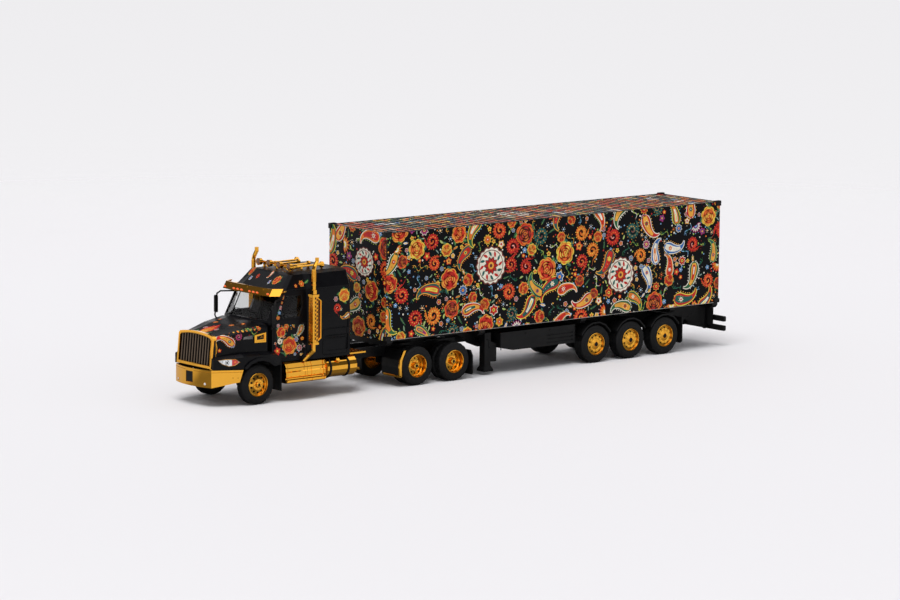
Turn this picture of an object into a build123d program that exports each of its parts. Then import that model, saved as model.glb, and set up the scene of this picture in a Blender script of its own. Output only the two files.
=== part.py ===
from build123d import *
from math import cos, pi, sin
import os

# A 1:64 display model of an articulated lorry: a bonneted tractor with a
# raised-roof sleeper, and a three-axle skeletal trailer under a 40 ft
# high-cube container.  Millimetres, +X forward, +Y to the left, +Z up.
# The origin lies on the ground under the middle of the model's length.

# Running gear
tyre_radius = 8.2
pin_radius = 0.6
pin_clearance = 0.05
seat_gap = 0.3
single_tyre_width = 4.4
twin_tyre_width = 3.9
twin_tyre_gap = 0.6
wide_tyre_width = 6.0
steer_half_track = 17.4
drive_half_track = 19.0
trailer_half_track = 18.8

# Stations along the model, each from the one before it
steer_setback = 22.1
wheelbase = 92.6
drive_spacing = 20.2
kingpin_lead = 0.7
kingpin_setback = 27.0
container_length = 190.5
rear_overhang = 5.5
trailer_axle_setback = 138.4
trailer_axle_spacing = 20.3

# Cab stations behind the steer axle
cowl_setback = 7.8
screen_setback = 4.4
screen_rake_run = 6.4
door_front_setback = 8.6
door_rear_setback = 25.2
sleeper_front_setback = 27.2
sleeper_rear_setback = 47.5
roof_front_setback = 17.6

# Cab heights and half widths
floor_height = 17.4
floor_thickness = 1.0
wall = 1.0
belt_height = 32.8
cab_upper_height = 12.6
roof_front_rise = 5.8
roof_rear_rise = 6.0
roof_crown = 0.7
cowl_half_width = 16.2
door_half_width = 16.9
sleeper_half_width = 18.4
side_lean = 0.5

# Running clearances and cuts
overrun = 1.0

# Trailer and container
chassis_half_width = 7.6
beam_thickness = 1.2
deck_height = 20.4
neck_depth = 2.9
neck_rear_setback = 49.0
container_half_width = 19.05
container_height = 45.25
panel = 0.9
floor_thick = 1.6

# Derived stations
front_to_kingpin = steer_setback + wheelbase - kingpin_lead
rear_to_kingpin = container_length - kingpin_setback + rear_overhang
nose_x = (front_to_kingpin + rear_to_kingpin) / 2
steer_x = nose_x - steer_setback
drive_mid_x = steer_x - wheelbase
kingpin_x = drive_mid_x + kingpin_lead
container_front_x = kingpin_x + kingpin_setback
container_rear_x = container_front_x - container_length
drive_axles_x = [drive_mid_x + drive_spacing / 2, drive_mid_x - drive_spacing / 2]
trailer_mid_x = container_front_x - trailer_axle_setback
trailer_axles_x = [trailer_mid_x + k * trailer_axle_spacing for k in (1, 0, -1)]
container_top_height = deck_height + container_height
cowl_x = steer_x - cowl_setback
screen_x = steer_x - screen_setback
door_front_x = steer_x - door_front_setback
door_rear_x = steer_x - door_rear_setback
sleeper_front_x = steer_x - sleeper_front_setback
sleeper_rear_x = steer_x - sleeper_rear_setback
roof_front_x = steer_x - roof_front_setback
eaves_height = belt_height + cab_upper_height


# Small shared makers
def block(x0, x1, y0, y1, z0, z1):
    """A box between two corners."""
    middle = Pos((x0 + x1) / 2, (y0 + y1) / 2, (z0 + z1) / 2)
    return middle * Box(x1 - x0, y1 - y0, z1 - z0)


def rod_y(x, z, radius, y0, y1):
    """A round bar along Y."""
    return Pos(x, (y0 + y1) / 2, z) * Rot(90, 0, 0) * Cylinder(radius, y1 - y0)


def rod_z(x, y, radius, z0, z1):
    """A round bar along Z."""
    return Pos(x, y, (z0 + z1) / 2) * Cylinder(radius, z1 - z0)


def side_plate(points, y0, y1):
    """A flat outline in X and Z, thick along Y."""
    outline = Plane.XZ.offset(-y1) * make_face(Polyline(*points, close=True))
    return extrude(outline, y1 - y0)


def plan_plate(points, z0, z1):
    """A flat outline in X and Y, thick along Z."""
    outline = Plane.XY.offset(z0) * make_face(Polyline(*points, close=True))
    return extrude(outline, z1 - z0)


def cross_plate(points, x0, x1):
    """A flat outline in Y and Z, thick along X."""
    outline = Plane.YZ.offset(x0) * make_face(Polyline(*points, close=True))
    return extrude(outline, x1 - x0)


def mirrored(shape):
    """The same piece on the other side."""
    return mirror(shape, Plane.XZ)


def both_sides(*shapes):
    """Each piece with its mirror image."""
    return [side for shape in shapes for side in (shape, mirrored(shape))]


def fused(*shapes):
    """Pieces that are joined for good."""
    whole = shapes[0]
    for shape in shapes[1:]:
        whole = whole + shape
    return whole


def write(node, *shapes):
    """One node's solids, in one file."""
    solids = [solid for shape in shapes for solid in shape.solids()]
    os.makedirs("parts", exist_ok=True)
    export_step(Compound(children=solids), os.path.join("parts", node + ".step"))


def flat(points):
    """A flat face through a ring of corners."""
    return Face(Wire.make_polygon(points))


def skinned(rings):
    """A solid between flat rings of corners, joined by flat panels and closed at both ends."""
    faces = [flat(rings[0]), flat(rings[-1])]
    for low, high in zip(rings, rings[1:]):
        for k in range(len(low)):
            n = (k + 1) % len(low)
            faces.append(flat([low[k], low[n], high[n]]))
            faces.append(flat([low[k], high[n], high[k]]))
    return Solid(Shell(faces))


def ring_points(radius, offset, sides):
    """The corners of a regular ring about Y whose flats lie at the given radius."""
    reach = radius / cos(pi / sides)
    turns = [2 * pi * (k + 0.5) / sides for k in range(sides)]
    return [(reach * cos(turn), offset, reach * sin(turn)) for turn in turns]


def turned(profile):
    """A closed profile of (radius, offset, sides) points turned about Y in flats."""
    faces = []
    for start, end in zip(profile, profile[1:] + profile[:1]):
        rings = [ring_points(*point) for point in (start, end) if point[0] > 0]
        if not rings:
            continue
        if start[1] == end[1]:
            wires = [Wire.make_polygon(ring) for ring in rings]
            wires.sort(key=lambda wire: -wire.length)
            faces.append(Face(wires[0], wires[1:]))
            continue
        for k in range(start[2]):
            n = (k + 1) % start[2]
            faces.append(flat([rings[0][k], rings[0][n], rings[1][n], rings[1][k]]))
    return Solid(Shell(faces))


def stepped(stations, sides):
    """A round piece about Y from a table of (radius, offset), closed at both ends."""
    first, last = stations[0], stations[-1]
    profile = [(0, first[1], sides)] + [(r, w, sides) for r, w in stations] + [(0, last[1], sides)]
    return turned(profile)


along_x = Rot(0, 0, -90)
along_z = Rot(90, 0, 0)
bar_sides = 6


def bent_bar(points, radius, sides=bar_sides):
    """A bar along a chain of points, mitred at each bend."""
    chain = [Vector(*point) for point in points]
    ways = [(b - a).normalized() for a, b in zip(chain, chain[1:])]
    across = ways[0].cross(Vector(0, 0, 1) if abs(ways[0].Z) < cos(pi / 8) else Vector(1, 0, 0)).normalized()
    upright = across.cross(ways[0])
    turns = [2 * pi * (k + 0.5) / sides for k in range(sides)]
    ring = [chain[0] + across * (radius * cos(turn)) + upright * (radius * sin(turn)) for turn in turns]
    rings = [ring]
    for k, way in enumerate(ways):
        end = chain[k + 1]
        after = ways[k + 1] if k + 1 < len(ways) else way
        mitre = (way + after).normalized()
        ring = [corner + way * ((end - corner).dot(mitre) / way.dot(mitre)) for corner in ring]
        rings.append(ring)
    return skinned(rings)


# Wheels
tyre_sides = 24
rim_sides = 16
hub_sides = 10
tyre_shoulder = 0.7
rim_seat_radius = 4.85
rim_lip = 0.4
rim_lip_inset = 0.15
hub_radius = 1.4
hub_chamfer = 0.4
steer_disc_inset = 0.8
steer_hub_reach = 0.5
drive_disc_inset = 2.3
drive_hub_reach = -0.7
trailer_disc_inset = 0.5
trailer_hub_reach = 0.1
hand_hole_count = 10
hand_hole_size = 0.95
hand_hole_depth = 0.5
hand_hole_pitch_share = 0.68


def tyre(width):
    """A tyre with its outer wall at zero and its width towards -Y."""
    shoulder = tyre_shoulder
    return turned(
        [
            # radius, offset, sides
            (rim_seat_radius, 0, rim_sides),
            (tyre_radius - shoulder, 0, tyre_sides),
            (tyre_radius, -shoulder, tyre_sides),
            (tyre_radius, shoulder - width, tyre_sides),
            (tyre_radius - shoulder, -width, tyre_sides),
            (rim_seat_radius, -width, rim_sides),
        ]
    )


def rim(width, inset, reach):
    """A rim that fills the tyre: a lip, a disc set in from it with hand holes, and a hub."""
    dish_radius = rim_seat_radius - rim_lip
    body = turned(
        [
            (0, reach, hub_sides),
            (hub_radius - hub_chamfer, reach, hub_sides),
            (hub_radius, reach - hub_chamfer, hub_sides),
            (hub_radius, -inset, hub_sides),
            (dish_radius, -inset, rim_sides),
            (dish_radius, -rim_lip_inset, rim_sides),
            (rim_seat_radius, -rim_lip_inset, rim_sides),
            (rim_seat_radius, -width, rim_sides),
            (0, -width, rim_sides),
        ]
    )
    pitch = hand_hole_pitch_share * rim_seat_radius
    pocket = Pos(pitch, -inset, 0) * Box(hand_hole_size, 2 * hand_hole_depth, hand_hole_size)
    for k in range(hand_hole_count):
        body = body - Rot(0, 360 * k / hand_hole_count, 0) * pocket
    return body


def wheel_set(name, x, half_track, widths, inset, reach):
    """Both wheels of one axle with their pin: one body, a tyre node and a rim node."""
    tyres = []
    rims = []
    y = half_track
    for k, width in enumerate(widths):
        place = Pos(x, y, tyre_radius)
        tyres.append(place * tyre(width))
        inner = stepped([(rim_seat_radius, 0), (rim_seat_radius, -width)], rim_sides)
        rims.append(place * (rim(width, inset, reach) if k == 0 else inner))
        y = y - width - twin_tyre_gap
    if len(widths) > 1:
        y0 = half_track - widths[0] - twin_tyre_gap
        spacer = stepped([(hub_radius, 0), (hub_radius, twin_tyre_gap)], hub_sides)
        rims.append(Pos(x, y0, tyre_radius) * spacer)
    pin_end = half_track - sum(widths) + hub_radius
    pin = rod_y(x, tyre_radius, pin_radius, -pin_end, pin_end)
    write(name + "_tyres", *both_sides(*tyres))
    write(name + "_rims", fused(pin, *both_sides(*rims)))


single = [single_tyre_width]
twins = [twin_tyre_width, twin_tyre_width]
wide = [wide_tyre_width]
steer_rim = (steer_disc_inset, steer_hub_reach)
drive_rim = (drive_disc_inset, drive_hub_reach)
trailer_rim = (trailer_disc_inset, trailer_hub_reach)
wheel_table = [
    # name, axle x, outer half width, tyre widths, disc inset, hub reach
    ("steer", steer_x, steer_half_track, single, *steer_rim),
    ("drive_1", drive_axles_x[0], drive_half_track, twins, *drive_rim),
    ("drive_2", drive_axles_x[1], drive_half_track, twins, *drive_rim),
    ("trailer_1", trailer_axles_x[0], trailer_half_track, wide, *trailer_rim),
    ("trailer_2", trailer_axles_x[1], trailer_half_track, wide, *trailer_rim),
    ("trailer_3", trailer_axles_x[2], trailer_half_track, wide, *trailer_rim),
]
for row in wheel_table:
    wheel_set(*row)

# Hangers under the beams, slotted from below for the axle pins
hanger_length = 5.0
hanger_drop = 1.5


def hanger(x, y_in, y_out, top):
    """A block under a beam with a round bearing for the axle pin, open below."""
    half = hanger_length / 2
    foot = half - pin_radius
    low = tyre_radius - hanger_drop
    outline = [(x - half, top), (x + half, top), (x + foot, low), (x - foot, low)]
    bearing = pin_radius + pin_clearance
    y0, y1 = y_in - overrun, y_out + overrun
    slot = block(x - bearing, x + bearing, y0, y1, low - overrun, tyre_radius)
    return side_plate(outline, y_in, y_out) - rod_y(x, tyre_radius, bearing, y0, y1) - slot


# Tractor frame: two channel rails, crossbars and axle housings
rail_half_width = 6.8
rail_thickness = 0.8
rail_flange = 1.8
rail_top_height = 16.2
rail_depth = 4.2
frame_front_reach = 15.0
frame_rear_overhang = 20.2
crossbar_length = 2.4
crossbar_depth = 2.0
housing_radius = 1.5
housing_middle_radius = 3.2
housing_middle_half = 1.6
housing_sides = 8
frame_front_x = steer_x + frame_front_reach
frame_rear_x = drive_mid_x - frame_rear_overhang
rail_base_height = rail_top_height - rail_depth
rail_inner = rail_half_width - rail_thickness
crossbars_x = [
    frame_rear_x + crossbar_length / 2,
    drive_mid_x,
    door_rear_x,
    steer_x + crossbar_length,
    frame_front_x - crossbar_length / 2,
]


def rail():
    """A channel rail, open towards the middle."""
    inner = rail_half_width - rail_flange
    z0, z1 = rail_base_height, rail_top_height
    low, high = z0 + rail_thickness, z1 - rail_thickness
    outline = [
        (rail_half_width, z0),
        (rail_half_width, z1),
        (inner, z1),
        (inner, high),
        (rail_inner, high),
        (rail_inner, low),
        (inner, low),
        (inner, z0),
    ]
    return cross_plate(outline, frame_rear_x, frame_front_x)


def axle_housing(x):
    """The bulged housing of a drive axle, bored for its pin and held by the hangers."""
    half = rail_half_width - rail_flange
    middle = housing_middle_half
    stations = [
        (housing_radius, -half),
        (housing_radius, -2 * middle),
        (housing_middle_radius, -middle),
        (housing_middle_radius, middle),
        (housing_radius, 2 * middle),
        (housing_radius, half),
    ]
    body = Pos(x, 0, tyre_radius) * stepped(stations, housing_sides)
    bore = pin_radius + pin_clearance
    return body - rod_y(x, tyre_radius, bore, -half - overrun, half + overrun)


def tractor_frame():
    pieces = both_sides(rail())
    middle = (rail_top_height + rail_base_height) / 2
    half = crossbar_length / 2
    for x in crossbars_x:
        z0, z1 = middle - crossbar_depth / 2, middle + crossbar_depth / 2
        pieces.append(block(x - half, x + half, -rail_inner, rail_inner, z0, z1))
    for x in [steer_x] + drive_axles_x:
        low = rail_base_height + rail_thickness / 2
        pieces.extend(both_sides(hanger(x, rail_half_width - rail_flange, rail_half_width, low)))
    pieces.extend(axle_housing(x) for x in drive_axles_x)
    return fused(*pieces)


write("tractor_frame", tractor_frame())

# The engine, one plain block that shows from below
engine_half_width = 4.2
engine_length = 17.4
engine_front_gap = 2.0
engine_height = 9.0
engine_front_x = frame_front_x - crossbar_length - engine_front_gap


def engine():
    """A block above the crossbars and between the rails."""
    z0 = (rail_top_height + rail_base_height + crossbar_depth) / 2
    x0 = engine_front_x - engine_length
    return block(x0, engine_front_x, -engine_half_width, engine_half_width, z0, z0 + engine_height)


write("engine", engine())

# Fifth wheel on the frame, where the kingpin turns
kingpin_radius = 1.0
kingpin_drop = 0.9
kingpin_running_gap = 0.05
fifth_wheel_length = 13.0
fifth_wheel_half_width = 6.6
fifth_wheel_gap = 0.1
fifth_wheel_height = deck_height - neck_depth - fifth_wheel_gap


def fifth_wheel():
    """A plate with chamfered shoulders, and a throat between two ramps at the rear."""
    half = fifth_wheel_half_width
    nose = half / 2
    throat = kingpin_radius + kingpin_running_gap
    front = kingpin_x + fifth_wheel_length / 2
    rear = kingpin_x - fifth_wheel_length / 2
    left = [
        (front, nose),
        (front - nose, half),
        (kingpin_x - nose, half),
        (rear, nose + throat),
        (rear, 2 * throat),
        (kingpin_x - 2 * throat, throat),
    ]
    outline = left + [(kingpin_x, throat), (kingpin_x, -throat)] + [(x, -y) for x, y in left[::-1]]
    plate = plan_plate(outline, rail_top_height, fifth_wheel_height)
    z0, z1 = rail_top_height - overrun, fifth_wheel_height + overrun
    return plate - rod_z(kingpin_x, 0, throat, z0, z1)


write("fifth_wheel", fifth_wheel())

# Front bumper, a wall that bows across the front and wraps round to the sides
bumper_base_height = 8.0
bumper_top_height = 15.2
bumper_half_width = 18.2
bumper_corner_half_width = 12.1
bumper_corner_drop = 2.2
bumper_side_length = 11.7
bumper_wall = 1.0
bumper_end_rise = 2.2
bumper_end_lean = 1.3
plate_recess_width = 4.6
plate_recess_height = 4.6
plate_recess_depth = 0.4
fog_lamp_size = 1.1
fog_lamp_y = 9.0
fog_lamp_lift = 1.5
bumper_corner_x = nose_x - bumper_corner_drop
bumper_end_x = bumper_corner_x - bumper_side_length
bumper_middle_height = (bumper_base_height + bumper_top_height) / 2


def bumper_outline(inset):
    """The plan of the bumper's outer face, moved in by an inset, from side to side."""
    front, corner, end = nose_x - inset, bumper_corner_x - inset, bumper_end_x
    half, side = bumper_corner_half_width - inset / 2, bumper_half_width - inset
    bow = ThreePointArc((corner, half), (front, 0), (corner, -half))
    return [Polyline((end, side), (corner, half)), bow, Polyline((corner, -half), (end, -side))]


def bumper_band(inset, z0, z1):
    """The space behind the bumper's outline, closed straight across at the rear."""
    side = bumper_half_width - inset
    rear = Polyline((bumper_end_x, -side), (bumper_end_x, side))
    plan = make_face(Curve() + bumper_outline(inset) + [rear])
    return extrude(Plane.XY.offset(z0) * plan, z1 - z0)


def front_bumper():
    """The bumper with a recess for a blank plate and seats for two fog lamps."""
    z0, z1 = bumper_base_height, bumper_top_height
    outer = bumper_band(0, z0, z1)
    inner = bumper_band(bumper_wall, z0 - overrun, z1 + overrun)
    half, high = plate_recess_width / 2, plate_recess_height / 2
    middle = bumper_middle_height
    recess = block(nose_x - plate_recess_depth, nose_x + overrun, -half, half, middle - high, middle + high)
    shell = outer - inner - recess
    size = fog_lamp_size / 2
    lamp_z = z0 + fog_lamp_lift
    y0, y1 = fog_lamp_y - size, fog_lamp_y + size
    seat = block(bumper_corner_x, nose_x + overrun, y0, y1, lamp_z - size, lamp_z + size)
    seat = seat - bumper_band(plate_recess_depth, z0, z1)
    for lamp_seat in both_sides(seat):
        shell = shell - lamp_seat
    high = z0 + bumper_end_rise
    under = [
        (bumper_end_x - overrun, z0 - overrun),
        (bumper_corner_x, z0 - overrun),
        (bumper_corner_x, z0),
        (bumper_end_x + bumper_end_lean, high),
        (bumper_end_x, z1),
        (bumper_end_x - overrun, z1),
    ]
    return shell - side_plate(under, -nose_x, nose_x)


write("front_bumper", front_bumper())

bracket_height = 2.4


def bumper_bracket():
    """An arm from the rail's front end to the bumper's inner face."""
    y1 = rail_half_width
    reach = block(frame_front_x, nose_x, rail_inner, y1, rail_top_height - bracket_height, bumper_top_height)
    return reach & bumper_band(bumper_wall, bumper_base_height, bumper_top_height)


write("bumper_brackets", *both_sides(bumper_bracket()))

# Grille: a raked surround and upright bars on a back plate
grille_reach = 19.9
grille_rake_run = 1.2
grille_base_height = 15.8
grille_height = 13.2
grille_half_width = 11.7
grille_crown = 1.0
grille_frame_width = 1.0
grille_depth = 1.8
grille_back_thickness = 0.5
grille_bar_count = 12
grille_bar_width = 0.8
grille_chamfer = 0.9
grille_base_x = steer_x + grille_reach
grille_plane = Plane(
    origin=(grille_base_x, 0, grille_base_height),
    x_dir=(0, 1, 0),
    z_dir=(grille_height, 0, grille_rake_run),
)


def grille_outline(inset):
    """The surround's outline in its own raked plane: upright sides and a crowned top."""
    half, low, high = grille_half_width - inset, inset, grille_height - inset
    cut = grille_chamfer
    top = ThreePointArc((half - cut, high), (0, high + grille_crown), (cut - half, high))
    foot = [(-half, high - cut), (-half, low), (half, low), (half, high - cut)]
    left = Polyline((cut - half, high), *foot, (half - cut, high))
    return make_face(Curve() + [top, left])


def grille_slab(inset, front, back):
    """The grille's outline between two depths behind its face."""
    return extrude(grille_plane.offset(-back) * grille_outline(inset), back - front)


def grille_surround():
    opening = grille_slab(grille_frame_width, -overrun, grille_depth + overrun)
    return grille_slab(0, 0, grille_depth) - opening


def grille_bars():
    """Upright bars with a keen front edge, fused to a thin back plate."""
    back = grille_slab(grille_frame_width, grille_depth - grille_back_thickness, grille_depth)
    inner_half = grille_half_width - grille_frame_width
    pitch = 2 * inner_half / grille_bar_count
    half = grille_bar_width / 2
    root, tip = grille_depth - grille_back_thickness, grille_back_thickness
    pieces = [back]
    for k in range(grille_bar_count):
        y = (k + 0.5) * pitch - inner_half
        left, right = y - half, y + half
        section = [(left, -root), (left, -2 * tip), (y, -tip), (right, -2 * tip), (right, -root)]
        low = [grille_plane.from_local_coords((u, 0, w)) for u, w in section]
        high = [grille_plane.from_local_coords((u, grille_height + grille_crown, w)) for u, w in section]
        pieces.append(skinned([low, high]))
    return fused(*pieces) & grille_slab(grille_frame_width, 0, grille_depth)


write("grille_surround", grille_surround())
write("grille_bars", grille_bars())

# Hood, a hollow shell with a crowned top that drops and narrows towards the grille
hood_base_height = 16.4
hood_wall = 0.9
hood_shoulder = 1.5
hood_swell = 0.35
hood_rear_x = screen_x - wall
hood_middle_share = 0.45
hood_crown_share = 0.55


def hood_ring(x, half, top, base, rake):
    """A cross section at x: upright sides, chamfered shoulders and a crowned top."""
    shoulder = top - hood_shoulder
    rise = hood_crown_share * hood_shoulder
    right = [(half, base), (half, shoulder), (half - hood_shoulder, shoulder + rise)]
    middle = [(half / 2, top), (-half / 2, top)]
    ring = right + middle + [(-y, z) for y, z in right[::-1]]
    return [(x - rake * (z - base), y, z) for y, z in ring]


def hood_shape(inset):
    """The hood's body between the cowl and the grille, moved in by an inset."""
    rake = grille_rake_run / grille_height
    base = hood_base_height - (overrun if inset else 0)
    rear_x = hood_rear_x - (overrun if inset else 0)
    front_x = grille_base_x - grille_depth - inset
    rear_half, front_half = cowl_half_width - inset, grille_half_width - seat_gap - inset
    rear_top, front_top = belt_height + seat_gap - inset, grille_base_height + grille_height - inset
    middle_x = rear_x + hood_middle_share * (front_x - rear_x)
    middle_half = rear_half + hood_middle_share * (front_half - rear_half) + hood_swell
    middle_top = rear_top + hood_middle_share * (front_top - rear_top) + hood_swell
    return skinned(
        [
            hood_ring(rear_x, rear_half, rear_top, base, 0),
            hood_ring(middle_x, middle_half, middle_top, base, 0),
            hood_ring(front_x, front_half, front_top, base, rake),
        ]
    )


# Front fenders, part of the hood and arched over the steer wheels
arch_radius = 10.0
arch_sides = 20
arch_lip = 1.3
arch_lip_reach = 0.45
fender_half_width = 18.6
fender_inner_half_width = 9.0
fender_top_height = 21.4
fender_shoulder = 1.0
fender_base_height = bumper_top_height + seat_gap
fender_front_x = bumper_corner_x - seat_gap
fender_side_x = bumper_end_x - seat_gap
fender_rear_x = steer_x - arch_radius - arch_lip


def fender_ring(x, half, top):
    """A cross section of a fender: a box with a chamfered outer shoulder."""
    low, cut, inner = fender_base_height, fender_shoulder, fender_inner_half_width
    return [(x, inner, low), (x, half, low), (x, half, top - cut), (x, half - 2 * cut, top), (x, inner, top)]


def fender():
    """The left fender: it narrows and drops to the lamps ahead of the wheel."""
    top = fender_top_height
    front_half = bumper_corner_half_width + bumper_wall
    body = skinned(
        [
            fender_ring(fender_rear_x, fender_half_width - fender_shoulder, top - fender_shoulder),
            fender_ring(steer_x - arch_radius / 2, fender_half_width, top),
            fender_ring(fender_side_x, fender_half_width - seat_gap, top),
            fender_ring(fender_front_x, front_half, top - fender_shoulder),
        ]
    )
    outer = fender_half_width + arch_lip_reach
    lip_width = arch_lip_reach + fender_shoulder
    lip = Pos(steer_x, outer, tyre_radius) * stepped(
        [(arch_radius + arch_lip, 0), (arch_radius + arch_lip, -lip_width)], arch_sides
    )
    above = block(fender_rear_x, fender_side_x, 0, outer + overrun, fender_base_height, eaves_height)
    return fused(body, lip & above)


def wheel_arch():
    """The space that the steer wheel stands in."""
    outer = fender_half_width + arch_lip_reach + overrun
    hollow = stepped([(arch_radius, 0), (arch_radius, fender_inner_half_width - outer)], arch_sides)
    return Pos(steer_x, outer, tyre_radius) * hollow

# Headlamps, set flush in the fenders' front faces
lamp_proud = 0.2
lamp_thickness = 1.2
lamp_lift = 1.0
lamp_height = 3.4
lamp_outline_shares = [
    # share of the face's length from its front, share of the lamp's height
    (0.15, 0.86),
    (0.40, 0.96),
    (0.72, 0.94),
    (0.85, 0.60),
    (0.70, 0.22),
    (0.50, 0.12),
    (0.28, 0.40),
]
fender_front_half = bumper_corner_half_width + bumper_wall
fender_side_half = fender_half_width - seat_gap
face_run = fender_front_x - fender_side_x
face_spread = fender_side_half - fender_front_half
face_length = (face_run**2 + face_spread**2) ** 0.5
face_plane = Plane(
    origin=(fender_front_x, fender_front_half, fender_base_height),
    x_dir=(-face_run, face_spread, 0),
    z_dir=(face_spread, face_run, 0),
)


def headlamp():
    """An almond-shaped lamp body in the slanted face of the fender."""
    outline = [(u * face_length, lamp_lift + v * lamp_height) for u, v in lamp_outline_shares]
    lens = face_plane.offset(lamp_proud - lamp_thickness) * make_face(Polyline(*outline, close=True))
    return extrude(lens, lamp_thickness)


write("headlamps", *both_sides(headlamp()))

# Air intakes on the hood's sides: a frame round an opening, and a slot ahead of it
intake_length = 5.2
intake_height = 4.0
intake_lift = 8.9
intake_rise = 0.9
intake_rim = 0.6
intake_proud = 0.5
intake_setback = 0.9
slot_length = 4.6
slot_height = 1.7
slot_lift = 10.4
slot_taper = 0.5
hood_middle_x = hood_rear_x + hood_middle_share * (grille_base_x - grille_depth - hood_rear_x)
hood_side_drop = hood_middle_share * (cowl_half_width - grille_half_width + seat_gap) - hood_swell
intake_plane = Plane(
    origin=(hood_rear_x, cowl_half_width, hood_base_height),
    x_dir=(hood_middle_x - hood_rear_x, -hood_side_drop, 0),
    z_dir=(-hood_side_drop, hood_rear_x - hood_middle_x, 0),
)


def intake_panel(inset, back, front):
    """The intake's outline on the hood's left side, between two depths."""
    u0, u1 = intake_setback + inset, intake_setback + intake_length - inset
    v0, v1 = intake_lift + inset, intake_lift + intake_height - inset
    outline = [(u0, v0), (u1, v0), (u1, v1 - intake_rise), (u0, v1)]
    plan = intake_plane.offset(-front) * make_face(Polyline(*outline, close=True))
    return extrude(plan, front - back)


def intake_frame():
    return intake_panel(0, 0, intake_proud) - intake_panel(intake_rim, -overrun, intake_proud + overrun)


def intake_slot():
    """A tapered slot through the hood's side ahead of the intake."""
    u0 = intake_setback + intake_length + slot_taper
    u1 = u0 + slot_length
    v0, v1 = slot_lift, slot_lift + slot_height
    outline = [(u0, v0), (u1, v0), (u1 - slot_taper, v1 - slot_taper), (u0, v1)]
    plan = intake_plane.offset(-hood_wall) * make_face(Polyline(*outline, close=True))
    return extrude(plan, 2 * hood_wall + overrun)


write("intake_frames", *both_sides(intake_frame()))


def cab_ring(height, inset):
    """The cab's plan at a height above the belt: bowed screen, doors and a wider sleeper."""
    share = (height - belt_height) / cab_upper_height
    back = share * screen_rake_run
    lean = share * side_lean + inset
    front = screen_x - back - inset
    half = [
        (front, screen_flat_half - inset),
        (front - screen_bow, screen_corner_half - lean),
        (door_front_x - back - inset, cowl_half_width - lean),
        (door_rear_x, door_half_width - lean),
        (sleeper_front_x, sleeper_half_width - lean),
        (sleeper_rear_x + sleeper_corner, sleeper_half_width - lean),
        (sleeper_rear_x + inset, sleeper_half_width - sleeper_corner - lean),
    ]
    return [(x, y, height) for x, y in half] + [(x, -y, height) for x, y in half[::-1]]


def lower_plan(inset):
    """The cab's plan below the belt, where it ends at the cowl."""
    half = [
        (cowl_x - inset, cowl_half_width - inset),
        (door_rear_x, door_half_width - inset),
        (sleeper_front_x, sleeper_half_width - inset),
        (sleeper_rear_x + sleeper_corner, sleeper_half_width - inset),
        (sleeper_rear_x + inset, sleeper_half_width - sleeper_corner - inset),
    ]
    return half + [(x, -y) for x, y in half[::-1]]


# Cab and sleeper, hollow, one wall thick, cut into the panels that meet at the belt and corners
screen_flat_half = 8.6
screen_bow = 2.4
screen_corner_half = 15.0
sleeper_corner = 1.2
screen_frame = 0.9
header_depth = 1.4
glass_thickness = 0.4
glass_depth = 0.3
floor_base = floor_height - floor_thickness
far = steer_x + nose_x


def upper_body(inset):
    """The cab between the belt and the eaves, run past both where it is cut away."""
    past = overrun if inset else 0
    return skinned([cab_ring(belt_height - past, inset), cab_ring(eaves_height + past, inset)])


def hood():
    """The shell and its fenders, open over the wheels and cut back from cab, lamps and intakes."""
    shell = fused(hood_shape(0) - hood_shape(hood_wall), *both_sides(fender()))
    arch = wheel_arch()
    cuts = [arch, headlamp(), intake_panel(intake_rim, -hood_wall - overrun, intake_proud), intake_slot()]
    for cut in both_sides(*cuts):
        shell = shell - cut
    half = door_half_width
    shell = shell - block(fender_rear_x - overrun, cowl_x, -half, half, floor_base, eaves_height)
    side = grille_half_width + seat_gap / 2
    shell = shell - grille_slab(-seat_gap / 2, -bumper_side_length, grille_depth)
    shell = shell - block(grille_base_x - grille_depth, nose_x, -side, side, 0, grille_base_height)
    scuttle = skinned([cab_ring(belt_height - 2 * wall, -wall / 10), cab_ring(eaves_height, -wall / 10)])
    return shell - scuttle


write("hood", hood())


def firewall():
    half = cowl_half_width - wall
    return block(cowl_x - wall, cowl_x, -half, half, floor_base, belt_height - wall)


def scuttle_plate():
    """The shelf between the firewall and the foot of the screen."""
    front = [point[:2] for point in cab_ring(belt_height, 0)[:3]]
    rear = (cowl_x - wall, cowl_half_width)
    outline = front + [rear] + [(x, -y) for x, y in (front + [rear])[::-1]]
    return plan_plate(outline, belt_height - wall, belt_height)


def screen_opening():
    """The opening for the windshield, seen from the front."""
    low, high = belt_height + screen_frame, eaves_height - header_depth
    base = screen_corner_half - screen_frame
    top = base - side_lean
    outline = [(base, low), (top, high), (-top, high), (-base, low)]
    return cross_plate(outline, door_front_x - screen_rake_run, far)


def front_zone():
    """All that lies ahead of the line between the corner pillars and the doors."""
    outline = [
        (door_front_x, belt_height - overrun),
        (door_front_x, belt_height),
        (door_front_x - screen_rake_run, eaves_height),
        (door_front_x - screen_rake_run, eaves_height + overrun),
        (far, eaves_height + overrun),
        (far, belt_height - overrun),
    ]
    return side_plate(outline, -nose_x, nose_x)


upper_shell = upper_body(0) - upper_body(wall)
glass_shell = upper_body(glass_depth) - upper_body(glass_depth + glass_thickness)


def cab_front():
    """Firewall, scuttle, pillars and header in one, open for the windshield."""
    frame = (upper_shell & front_zone()) - screen_opening()
    return fused(frame, scuttle_plate(), firewall())


front_panel = cab_front()
write("cab_front", front_panel)
write("windshield", glass_shell & front_zone() & screen_opening())

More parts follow.
